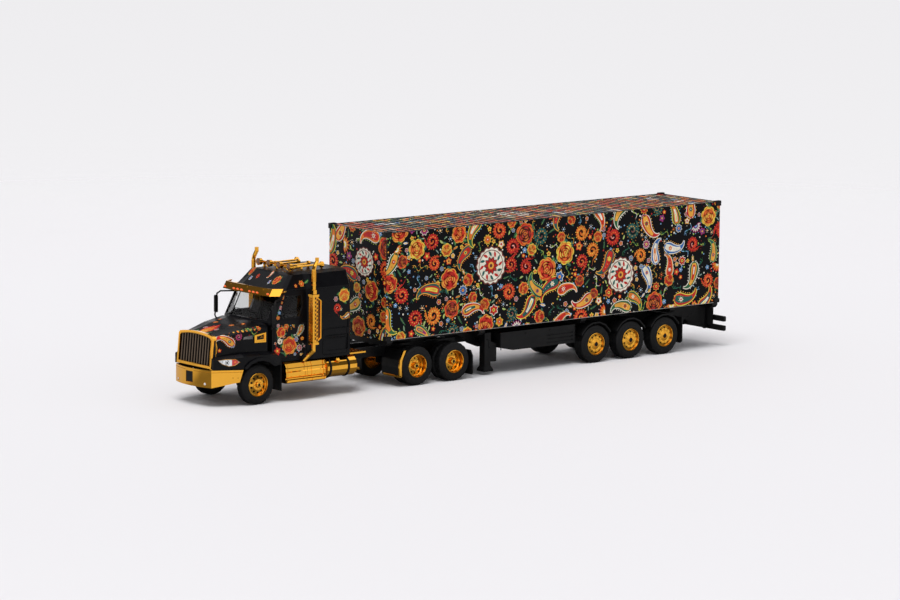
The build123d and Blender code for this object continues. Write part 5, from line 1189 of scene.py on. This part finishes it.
def lattice(shape, sense):
    """Dark lozenges between bars that cross, cut off at the shield's ends; the lozenges are flat dark bronze, painted
    shade in the lattice's openings.
    """
    for row in range(int((SHIELD_HIGH - SHIELD_LOW) / (MESH_PITCH / 2))):
        z = SHIELD_LOW + MESH_PITCH / 2 * (row + 0.5)
        for col in range(-2, 3):
            y = (col + (0.5 if row % 2 else 0.0)) * MESH_PITCH * MESH_SLOPE
            if abs(y) <= SHIELD_HALF - 0.12:
                # Flat dark bronze lozenge: painted shade in an opening of the lattice
                corners = [(SHIELD_FRONT + 0.012, SHIELD_Y + y + a, z + b) for a, b in LOZENGE]
                quad(shape, mirrored(corners, sense), bronze)
    for turn in SIDES:
        for k in range(-3, 30):
            low = SHIELD_LOW + k * MESH_PITCH
            a, b = (-SHIELD_HALF, low), (SHIELD_HALF, low + 2 * SHIELD_HALF / MESH_SLOPE)
            if low >= SHIELD_HIGH + 2:
                break
            if a[1] < SHIELD_LOW:
                s = (SHIELD_LOW - a[1]) / (b[1] - a[1])
                a = (a[0] + s * (b[0] - a[0]), SHIELD_LOW)
            if b[1] > SHIELD_HIGH:
                s = (SHIELD_HIGH - a[1]) / (b[1] - a[1])
                b = (a[0] + s * (b[0] - a[0]), SHIELD_HIGH)
            if a[1] < SHIELD_HIGH and b[1] > SHIELD_LOW and b[1] > a[1]:
                line = [(SHIELD_FRONT + 0.03, SHIELD_Y + turn * y, z) for y, z in (a, b)]
                tube(shape, mirrored(line, sense), 0.07, gold, 4, False)


def stack_parts():
    shape = Shape()
    ends = (SHIELD_LOW, SHIELD_LOW, SHIELD_HIGH, SHIELD_HIGH)
    for sense in SIDES:
        lattice(shape, sense)
        edge = [(SHIELD_FRONT + 0.02, SHIELD_Y + side * SHIELD_HALF, z) for side, z in zip((-1, 1, 1, -1), ends)]
        tube(shape, mirrored(edge, sense), 0.09, gold, 6, True, True)
        for k in range(SLOTS):
            for x, z, lean in ((93.06, 0.0, -SLOT_LEAN), (93.94, 0.4, SLOT_LEAN)):
                z += SHIELD_LOW + 0.3 + k * SLOT_PITCH
                slot = [(x - 0.3, z), (x + 0.3, z + lean), (x + 0.3, z + lean + SLOT_HIGH), (x - 0.3, z + SLOT_HIGH)]
                # Each slot is a flat dark bronze patch under a gold lip: painted shade in the slot
                quad(shape, mirrored([(a, SHIELD_OUT + 0.012, b) for a, b in slot[::-1]], sense), bronze)
                lip = [(x - 0.34, SHIELD_OUT + 0.04, z + 1.1), (x + 0.34, SHIELD_OUT + 0.04, z + lean + 1.1)]
                tube(shape, mirrored(lip, sense), 0.15, gold, 6)
        edge = [(x, SHIELD_OUT + 0.02, z) for x, z in zip((92.62, 94.38, 94.38, 92.62), ends)]
        tube(shape, mirrored(edge, sense), 0.09, gold, 6, True, True)
        spine = [(SHIELD_X, SHIELD_OUT + 0.03, z) for z in (SHIELD_LOW, SHIELD_HIGH)]
        tube(shape, mirrored(spine, sense), 0.07, gold, 6)
        for z in (45.3, 47.4):
            clamp = [(0.86, -0.25), (0.98, -0.2), (0.98, 0.2), (0.86, 0.25)]
            lathe(shape, clamp, (SHIELD_X, SHIELD_Y * sense, z), UP, gold, 20)
        for a in angles(8):
            x, y = polar(0.87, a, SHIELD_X, SHIELD_Y)
            tube(shape, [(x, y * sense, 48.7), (x, y * sense, 53.2)], 0.06, gold_satin, 5)
    shape.made("stack_shields", "tractor", "gold_chrome")


# Windscreen wipers, door handles, mirror glass, window rubbers, drip rails, panel lines of the sleeper
MIRROR_X, MIRROR_Y, EAVES_Z = 112.61, 19.8, 45.5


def window_rubber(shape, sense):
    outer = [p for p in [v.co / MM for v in nodes["side_windows"].data.vertices] if p.y * sense > 15.2]
    middle = sum(outer, Vector()) / len(outer)
    rim = {}
    for p in outer:
        a = round(math.atan2(p.z - middle.z, p.x - middle.x), 2)
        if a not in rim or abs(p.y) > abs(rim[a].y):
            rim[a] = p
    loop = [Vector((rim[a].x, rim[a].y + 0.22 * sense, rim[a].z)) for a in sorted(rim)]
    tube(shape, loop, 0.2, black_plastic, 6, False, True)


def cab_parts():
    shape = Shape()
    screen = tree_of("windshield", "cab_front")
    for y0, y1 in ((1.2, 8.6), (-8.6, -1.2)):
        starts = [(130, y0 + (y1 - y0) * t, 35.0 + 0.5 * math.sin(math.pi * t)) for t in [k / 8 for k in range(9)]]
        blade = trail(screen, starts, (-1, 0, 0.06), 0.2)
        tube(shape, blade, 0.11, black_plastic, 6)
        spot, normal = hit(screen, (130, (y0 + y1) / 2, 33.6), BACKWARD)
        arm = [spot, (spot + blade[4]) / 2 + normal * 0.35, blade[4] + normal * 0.05]
        tube(shape, arm, 0.13, black_plastic, 6)
    for sense in SIDES:
        inward = (0, -sense, 0)
        handle = trail(cab_skin, [(x, 40 * sense, 31.4) for x in (95.2, 97.4)], inward, 0.3)
        y0, y1 = sorted(p.y for p in handle)
        slab(shape, (handle[0].x, y0 - 0.14, 31.1), (handle[1].x, y1 + 0.14, 31.65), black_plastic, 0.1)
        corners = ((-0.34, 33.7), (-0.34, 39.6), (0.34, 39.6), (0.34, 33.7))
        quad(shape, [(MIRROR_X, MIRROR_Y * sense + y, z) for y, z in corners], silver)
        window_rubber(shape, sense)
        starts = [(108.8 - 36.0 * k / 16, 40 * sense, EAVES_Z - 0.35) for k in range(17)]
        rail = [(p.x, p.y + 0.12 * sense, EAVES_Z) for p in trail(cab_skin, starts, inward)]
        tube(shape, rail, 0.16, black_paint, 6)
        for z0, z1 in ((17.6, 24.2), (25.2, 28.2)):
            outline = [
                (74.9, z0), (86.5, z0), (87.0, z0 + 0.5), (87.0, z1 - 0.5), (86.5, z1), (74.9, z1), (74.4, z1 - 0.5),
                (74.4, z0 + 0.5),
            ]
            path = trail(cab_skin, [(x, 40 * sense, z) for x, z in outline], inward)
            tube(shape, path, 0.2, black_paint, 8, True, True)
        for x in (90.4, 77.6):
            for z in (19.2, 26.6):
                stud = [(0.16, 0), (0.15, 0.06), (0.001, 0.08)]
                seated(shape, cab_skin, (x, 40 * sense, z), inward, stud, black_plastic, 10)
    shape.made("cab_trim", "tractor", "black_plastic")


def steering_wheel():
    shape = Shape()
    centre, way = Vector((104.6, 7.6, 31.2)), Vector((-0.75, 0, 0.66)).normalized()
    u, v = frame_of(way)
    tube(shape, [centre + (u * math.cos(a) + v * math.sin(a)) * 3.1 for a in angles(36)], 0.26, interior, 8, True, True)
    for a in angles(3, 0.5):
        spoke = [centre - way * 0.3, centre + (u * math.cos(a) + v * math.sin(a)) * 3.0]
        tube(shape, spoke, 0.2, interior, 6)
    lathe(shape, [(0.8, -0.4), (0.8, 0.1), (0.5, 0.25), (0.001, 0.28)], centre, way, interior, 18)
    tube(shape, [centre - way * 0.2, (107.4, 7.6, 29.0)], 0.35, interior, 8)
    for y in (7.6, -7.6):
        for j in range(4):
            dial = [(0.5, 0), (0.5, 0.1), (0.4, 0.14), (0.001, 0.06)]
            lathe(shape, dial, (106.05, y - 2.1 + 1.4 * j, 30.6), (-1, 0, 0.1), silver, 14)
    shape.made("steering_wheel", "tractor", "interior")


# Roof lamps, deck tread, tank and step seams, frame bolts, filler caps
TANK_Y, TANK_Z, TANK_R = 14.8, 11.7, 4.95


def tractor_parts():
    shape = Shape()
    bar = tree_of("roof_bar")
    for k in range(4):
        spot = hit(bar, (130, (k - 1.5) * 6.8, 54.1), BACKWARD)[0]
        bowl = [(1.0, -1.7), (1.36, -1.5), (1.44, -0.2), (1.5, 0.14), (1.32, 0.24), (1.2, 0.1)]
        lathe(shape, bowl, spot, (1, 0, 0), gold, 28)
        lathe(shape, [(1.2, 0.1), (0.7, 0.22), (0.001, 0.26)], spot, (1, 0, 0), lens_smoke, 24)
    for sense in SIDES:
        outward = (0, sense, 0)
        for i in range(9):
            for j in range(5):
                x, y, ridge = 63.7 + i * 0.82, (8.6 + j * 1.6) * sense, 0.28 if (i + j) % 2 else -0.28
                tube(shape, [(x - 0.2, y - ridge, 16.86), (x + 0.2, y + ridge, 16.86)], 0.07, gold, 4, False)
        seam = [(14.6, 16.22), (17.4, 16.1), (19.2, 15.5), (19.92, 14.0), (19.96, 11.0), (19.75, 8.3)]
        for x in (86.7, 96.2, 106.3):
            tube(shape, [(x, y * sense, z) for y, z in seam], 0.09, gold_satin, 6)
        for x in (88.5, 91.5, 99.0, 103.5):
            lathe(shape, [(0.16, 0), (0.16, 0.06), (0.001, 0.1)], (x, 19.92 * sense, 10.2), outward, gold, 10)
        for x in [10 + 4.6 * k for k in range(13)]:
            for z in (13.9, 15.2):
                nut(shape, (x, 6.8 * sense, z), outward, 0.22, 0.14, black_plastic)
        for share in (0.12, 0.68):
            x = 85.2 - share * 16.8
            slab(shape, (x - 0.5, 14.5 * sense, 16.0), (x + 0.5, 15.1 * sense, 16.35), black_plastic, 0.06)
        tilt = (0.77, 0.64)
        place = (79.2, (TANK_Y + TANK_R * tilt[0]) * sense, TANK_Z + TANK_R * tilt[1])
        cap = [(0.8, 0), (0.84, 0.1), (0.6, 0.22), (0.001, 0.25)]
        lathe(shape, cap, place, (0, tilt[0] * sense, tilt[1]), gold, 16)
        slab(shape, (45.75, 8.0 * sense, 4.15), (46.75, 19.0 * sense, 5.0), gold, 0.12)
    shape.made("tractor_fittings", "tractor", "gold_chrome")


# Trailer: lamps, bolts, crank, tail plate, corner blocks and door gear
CORNER_LONG, CORNER_WIDE, CORNER_HIGH, CORNER_PROUD = 2.75, 1.5, 1.86, 0.45


def corner_block(shape, x_out, way, sense, z_low):
    """A corner block with an oval hole in each outer face, each hole a flat deep black oval: painted shade for its
    hollow.
    """
    upper = z_low > BASE_Z
    top = z_low + CORNER_HIGH + (CORNER_PROUD if upper else 0.0)
    slab(shape, (x_out - way * CORNER_LONG, (HALF - CORNER_WIDE) * sense, z_low - 0.02),
         (x_out + way * CORNER_PROUD, (HALF + CORNER_PROUD) * sense, top), black_plastic, 0.28)
    x, y, z = x_out - way * 1.35, (HALF - 0.7) * sense, z_low + 0.95
    turns = angles(20)
    side = [(x + 0.62 * math.cos(a), (HALF + CORNER_PROUD + 0.01) * sense, z + 0.42 * math.sin(a)) for a in turns]
    end = [(x_out + way * (CORNER_PROUD + 0.01), y + 0.42 * math.cos(a), z + 0.52 * math.sin(a)) for a in turns]
    # Flat deep black ovals: painted shade where the holes are
    quad(shape, side[::-1] if sense > 0 else side, deep_black)
    quad(shape, end[::-1] if way < 0 else end, deep_black)
    if upper:
        quad(shape, [(x + 0.9 * math.cos(a), y + 0.42 * math.sin(a), top + 0.01) for a in turns], deep_black)


def trailer_parts():
    shape = Shape()
    for sense in SIDES:
        outward = (0, sense, 0)
        for y, look in ((16.9, lens_red), (14.7, lens_amber), (12.5, lens_red)):
            place = (-141.42, y * sense, 12.4)
            lathe(shape, [(0.92, 0), (0.92, 0.2), (0.8, 0.24)], place, BACKWARD, black_plastic, 24)
            lathe(shape, [(0.8, 0.24), (0.5, 0.36), (0.001, 0.4)], place, BACKWARD, look, 24)
        for x in [-130 + 5.2 * k for k in range(25)]:
            nut(shape, (x, 7.6 * sense, 19.2), outward, 0.2, 0.12, chassis_black)
        for x in (-9.0, -6.6, -4.2):
            nut(shape, (x, 15.95 * sense, 13.0), outward, 0.2, 0.12, chassis_black)
        slab(shape, (-141.46, 8.2 * sense, 11.9), (-141.3, 10.6 * sense, 12.9), deep_black, 0.04)
        for x in (-52.4, -10.5):
            slab(shape, (x - 0.15, 16.8 * sense, 10.2), (x + 0.15, 17.12 * sense, 17.2), chassis_black, 0.05)
        for x in (-38.5, -24.5):
            slab(shape, (x - 0.5, 16.95 * sense, 16.0), (x + 0.5, 17.2 * sense, 16.7), black_plastic, 0.08)
        for out, z, radius, look in ((0.02, BASE_Z + 0.12, 0.1, rail_line), (0.0, TOP_Z - 0.1, 0.12, chassis_black)):
            tube(shape, [(x, (HALF + out) * sense, z) for x in (REAR_X + 3, FRONT_X - 3)], radius, look, 6)
    for x_out, way in ((FRONT_X, 1), (REAR_X, -1)):
        for sense in SIDES:
            for z_low in (BASE_Z, TOP_Z - CORNER_HIGH):
                corner_block(shape, x_out, way, sense, z_low)
    slab(shape, (-139.95, -12.0, 9.0), (-139.35, 12.0, 19.9), chassis_black, 0.12)
    for y in (-6.0, 0.0, 6.0):
        slab(shape, (-140.15, y - 0.35, 9.6), (-139.9, y + 0.35, 19.3), chassis_black, 0.08)
    crank = [(-3.2, y, z) for y, z in ((16.0, 15.4), (17.6, 15.4), (17.6, 12.2), (18.5, 12.2))]
    tube(shape, crank, 0.2, black_plastic, 8)
    shape.made("trailer_fittings", "trailer", "black_plastic")


def door_parts():
    shape = Shape()
    for sense in SIDES:
        for y in (0.22 * 18.15 * sense, 0.62 * 18.15 * sense):
            for z in (24.6, 43.0, 61.4):
                slab(shape, (-136.3, y - 0.75, z - 0.35), (-135.5, y + 0.75, z + 0.35), chassis_black, 0.08)
            z, reach = 36.0, 3.0 * sense
            tube(shape, [(-136.25, y, z), (-136.4, y + reach * 0.2, z), (-136.4, y + reach, z)], 0.2, chassis_black, 8)
            y += reach
            slab(shape, (-136.45, y - 0.35, z - 0.45), (-135.5, y + 0.35, z + 0.45), chassis_black, 0.08)
        for z in (24.5, 36.5, 49.5, 61.5):
            slab(shape, (-136.05, 17.2 * sense, z - 0.8), (-135.4, 18.9 * sense, z + 0.8), chassis_black, 0.1)
            tube(shape, [(-136.05, 18.3 * sense, z - 0.9), (-136.05, 18.3 * sense, z + 0.9)], 0.3, chassis_black, 8)
    shape.made("door_gear", "trailer", "satin_black")


cab_skin = tree_of("hood", "cab_sides", "cab_front", "cab_roof")
for make in (headlamp_parts, bumper_parts, visor_parts, grille_parts, intake_parts, stack_parts, cab_parts,
             steering_wheel, tractor_parts, trailer_parts, door_parts):
    make()

# The print on the cab: a looser spray of the same motifs on black
PRINT_X = 120.0
# Door, hood side and sleeper in drawing order: motif, place, size, turn, mirror and its arguments
DOOR_SPRAY = [
    (rose, 103.0, 22.8, 3.7, 0.5, 1, (*ROSES[0], "green", "lime")),
    (rose, 107.2, 28.6, 2.2, 1.9, 1, (*ROSES[1], "teal", "lime")),
    (round_flower, 109.0, 21.0, 1.7, 0.2, 1, FIRE_FLOWER),
    (paisley, 98.4, 28.8, 2.5, 2.5, 1, (*DROPS[0], 1)),
    (daisy, 98.0, 21.4, 1.5, 0.0, 1, (*PINK_DAISY, 8)),
    (daisy, 104.6, 30.6, 1.3, 0.0, 1, (*AMBER_DAISY, 6)),
    (daisy, 99.6, 25.0, 1.1, 0.0, 1, (*BLUE_DAISY, 6)),
    (fiddlehead, 107.6, 24.9, 1.7, 2.0, -1, ("cream", "amber", "red")),
    (nested_drops, 101.0, 30.6, 1.3, 0.7, 1, SPRAYS[0]),
    (round_flower, 96.6, 25.2, 0.9, 0.0, 1, ("orange", "amber", "brown")),
    (sprig, 106.4, 19.8, 1.4, 1.2, 1, ("lime", "green", "teal")),
    *[(cream_daisy, x, z, r, 0.0, 1, (tone,)) for x, z, r, tone in (
        (110.0, 24.2, 0.6, "red"), (100.2, 19.0, 0.7, "blue"), (96.4, 29.8, 0.6, "amber"),
        (108.6, 31.4, 0.8, "magenta"), (105.9, 26.4, 0.5, "red"), (97.2, 18.6, 0.6, "amber"),
        (95.6, 21.9, 0.5, "magenta"),
    )],
]
PILLAR_SPRAY = [
    (daisy, 108.6, 34.6, 0.9, (*AMBER_DAISY, 6)), (round_flower, 107.9, 36.6, 0.8, SKY_FLOWER),
    (daisy, 107.2, 38.6, 0.9, (*PINK_DAISY, 6)), (round_flower, 106.4, 40.6, 0.7, BROWN_FLOWER),
    (daisy, 105.6, 42.6, 0.9, (*AMBER_DAISY, 6)),
]
HOOD_SPRAY = [
    (paisley, 132.4, 26.2, 3.4, 1.1, -1, ("cream", "red", "amber", "teal", "orange", 0)),
    (fiddlehead, 126.9, 28.1, 1.8, 3.4, 1, ("magenta", "amber", "cream")),
    (tendril, 122.0, 30.2, 3.4, 3.0, 1, ("lime", "red", "green")),
]
REAR_SPRAY = [
    (daisy, 117.8, 31.0, 0.9, 0.0, 1, (*AMBER_DAISY, 6)),
    (round_flower, 135.0, 23.0, 0.9, 0.0, 1, SUN_FLOWER),
    (daisy, 129.4, 24.6, 0.9, 0.0, 1, (*BLUE_DAISY, 6)),
    (rose, 75.8, 41.4, 2.9, 0.9, 1, (*ROSES[3], "green", "lime")),
    (fiddlehead, 79.4, 36.4, 2.4, 0.8, 1, ("red", "orange", "cream")),
    (paisley, 75.4, 33.2, 2.1, 1.9, 1, (*DROPS[1], 1)),
    (daisy, 80.2, 40.2, 1.1, 0.0, 1, (*PINK_DAISY, 6)),
    (beads, 77.6, 35.8, 0.8, 0.0, 1, ("amber", "cream")),
    (daisy, 96.0, 47.6, 1.3, 0.0, 1, (*AMBER_DAISY, 6)),
    (green_leaf, 93.6, 48.2, 1.1, 0.6, 1, ()),
    (round_flower, 99.0, 46.9, 0.8, 0.0, 1, BROWN_FLOWER),
]


def cab_flank(sense, name, seed):
    sheet = Print(seed)

    def pen(x, z, size, turn=0.0, mirror=1):
        # The print runs rearward on the left side and forward on the right side
        return sheet.pen((PRINT_X - x) * sense, z, size, turn, mirror * sense)

    def spray(rows):
        for draw, x, z, size, turn, mirror, tones in rows:
            draw(pen(x, z, size, turn, mirror), *tones)

    spray(DOOR_SPRAY)
    for k in range(40):
        x, z = sheet.dice.uniform(95.4, 110.4), sheet.dice.uniform(18.0, 32.0)
        pen(x, z, 0.26).disc(0, 0, 0.8, DOTS[k % 6], 0, 7)
    for k, (draw, x, z, r, tones) in enumerate(PILLAR_SPRAY):
        draw(pen(x, z, r), *tones)
        green_leaf(pen(x + 0.3, z + 1.0, 0.7, 1.2), ("green", "teal")[k % 2])
    spray(HOOD_SPRAY)
    for k in range(8):
        x, z = 130.0 - 1.7 * k, 30.0 + 0.10 * k
        pen(x, z, 0.42).disc(0, 0, 0.9, ("orange", "amber")[k % 2], 0, 8)
        green_leaf(pen(x - 0.6, z + 0.4, 0.55, 1.0), bend=0.2)
    spray(REAR_SPRAY)
    laid(name, "tractor", sheet, ["hood", "cab_sides", "cab_roof"], lambda p: p.y * sense > 8.0, 0.3,
         (PRINT_X, 0, 0), (-sense, 0, 0), UP)


def hood_top():
    """A flame-like fan of petals behind the grille."""
    sheet = Print(71)
    pen = sheet.pen(-0.8, 0, 9.4)
    for step in range(-2, 3):
        for start, end, drop, wide, tone, layer in (
            (0.12, 1.25, 0.18, 0.13, "red", 0), (0.16, 1.05, 0.18, 0.085, "orange", 1),
            (0.2, 0.7, 0.1, 0.04, "amber", 2),
        ):
            petal(pen, 0.17 * step, start, end - drop * abs(step), wide, tone, layer)
    for side in SIDES:
        leaf(sheet.pen(1.4, 3.4 * side, 1.7, 0.3 * side), 0, -0.4, 1.4, 0.26, "green", "lime", 0, 0.4 * side)
        daisy(sheet.pen(6.0, 3.8 * side, 1.0), *PINK_DAISY, 6)
        daisy(sheet.pen(12.4, 5.4 * side, 1.2), *AMBER_DAISY, 8)
        round_flower(sheet.pen(16.4, 8.0 * side, 1.0), *SUN_FLOWER)
    laid("print_hood", "tractor", sheet, ["hood"], lambda p: p.z > 24.0, 0.3, (136.6, 0, 0), (-1, 0, 0), (0, -1, 0))


def roof_front():
    sheet = Print(73)
    for draw, y, z, r, tones in (
        (rose, -10.2, 50.4, 1.5, (*ROSES[1], "green", "lime")),
        (fiddlehead, -3.4, 49.2, 1.1, ("red", "amber", "cream")),
        (paisley, 3.0, 50.6, 1.2, (*DROPS[2], 1)), (rose, 9.4, 49.0, 1.6, (*ROSES[1], "green", "lime")),
        (daisy, -6.8, 48.2, 0.8, (*BLUE_DAISY, 6)), (daisy, 6.2, 48.0, 0.8, (*BLUE_DAISY, 6)),
    ):
        draw(sheet.pen(y, z, r, sheet.dice.uniform(0, 6.3)), *tones)
    laid("print_roof_front", "tractor", sheet, ["cab_roof"], lambda p: p.x > 84.0, 0.15, (0, 0, 0), (0, 1, 0), UP)


cab_flank(1, "print_cab_left", 61)
cab_flank(-1, "print_cab_right", 67)
hood_top()
roof_front()

# Stage and light
PALE = (0.90, 0.89, 0.91)
FADE_START, FADE_END = 0.32, 0.95
WORLD_LIGHT = 0.46


def stage_material():
    """A pale floor that fades into the background away from the object. In reflections it is darker, with a painted
    shadow in a band under and beside the object.
    """
    made, tree, shader = material("pale_floor")
    glossy = tree.nodes.new("ShaderNodeLightPath").outputs["Is Glossy Ray"]
    cloud = ramp(tree, noise(tree, 1.5, 2), [(0.3, tuple(c * 0.985 for c in PALE)), (0.7, PALE)])
    where = tree.nodes.new("ShaderNodeTexCoord").outputs["Object"]
    y = node_of(tree, "SeparateXYZ", {0: where}).outputs["Y"]
    # Floor as seen in reflections only: 0.61 and 0.84 grey out to the two sides, 0.2 in a band under and beside the
    # object, a painted shadow
    tone = maths(tree, "MAXIMUM", mapped(tree, y, -0.055, -0.03, 0.61, 0.2), mapped(tree, y, 0.028, 0.06, 0.2, 0.84))
    mix = tree.nodes.new("ShaderNodeMix")
    mix.data_type = "RGBA"
    feed(tree, mix, {0: glossy, 6: cloud, 7: tone})
    length = node_of(tree, "VectorMath", {0: where}, "LENGTH").outputs["Value"]
    feed(tree, shader, {
        "Base Color": mix.outputs[2],
        "Roughness": 0.7,
        "Specular IOR Level": 0.25,
        "Alpha": mapped(tree, length, FADE_START, FADE_END, 1.0, 0.0),
    })
    return made


ground = bpy.data.meshes.new("floor")
ground.from_pydata([(-2, -2, 0), (2, -2, 0), (2, 2, 0), (-2, 2, 0)], [], [(0, 1, 2, 3)])
floor = bpy.data.objects.new("floor", ground)
scene.collection.objects.link(floor)
floor.location.z = cad_low.z - 0.00005
ground.materials.append(stage_material())

world = bpy.data.worlds.new("world")
scene.world = world
world.use_nodes = True
sky = world.node_tree
ray = sky.nodes.new("ShaderNodeLightPath").outputs
around = sky.nodes.new("ShaderNodeTexCoord").outputs["Generated"]
toward = node_of(sky, "SeparateXYZ", {0: around}).outputs
# What the camera and the glass see: near white, a little darker towards the horizon
seen_level = mapped(sky, toward["Z"], -0.22, -0.04, 0.945, 0.86)
# What the gold sees: the white sweep up to the horizon, a dark room, a soft box beside and one overhead
horizon = mapped(sky, toward["Z"], 0.15, 0.32, 1.0, 0.0)
sweep = maths(sky, "MULTIPLY", horizon, mapped(sky, toward["Y"], -0.35, 0.35, 1.0, 0.42))
soft_box_way = Vector((0.36, 0.78, 0.46)).normalized()
aim = node_of(sky, "VectorMath", {0: around, 1: soft_box_way}, "DOT_PRODUCT").outputs["Value"]
gloss_level = maths(sky, "MAXIMUM", sweep, 0.10)
for soft_box in (mapped(sky, aim, 0.955, 0.985, 0.0, 1.6), mapped(sky, toward["Z"], 0.50, 0.72, 0.0, 1.2)):
    gloss_level = maths(sky, "MAXIMUM", gloss_level, soft_box)
direct = maths(sky, "MAXIMUM", ray["Is Camera Ray"], ray["Is Transmission Ray"])


def choose(share, yes, no):
    return maths(sky, "ADD", no, maths(sky, "MULTIPLY", share, maths(sky, "SUBTRACT", yes, no)))


level = choose(direct, seen_level, choose(ray["Is Glossy Ray"], gloss_level, WORLD_LIGHT))
feed(sky, sky.nodes["Background"], {"Strength": level, "Color": (0.99, 0.98, 1.0, 1)})

sun_data = bpy.data.lights.new("soft_sun", "SUN")
sun_data.energy = 1.9
sun_data.angle = math.radians(34)
sun = bpy.data.objects.new("soft_sun", sun_data)
scene.collection.objects.link(sun)
sun.visible_glossy = False
sun.rotation_euler = Vector((0.28, 0.22, 1.0)).to_track_quat("Z", "Y").to_euler()

scene.view_settings.view_transform = "Standard"
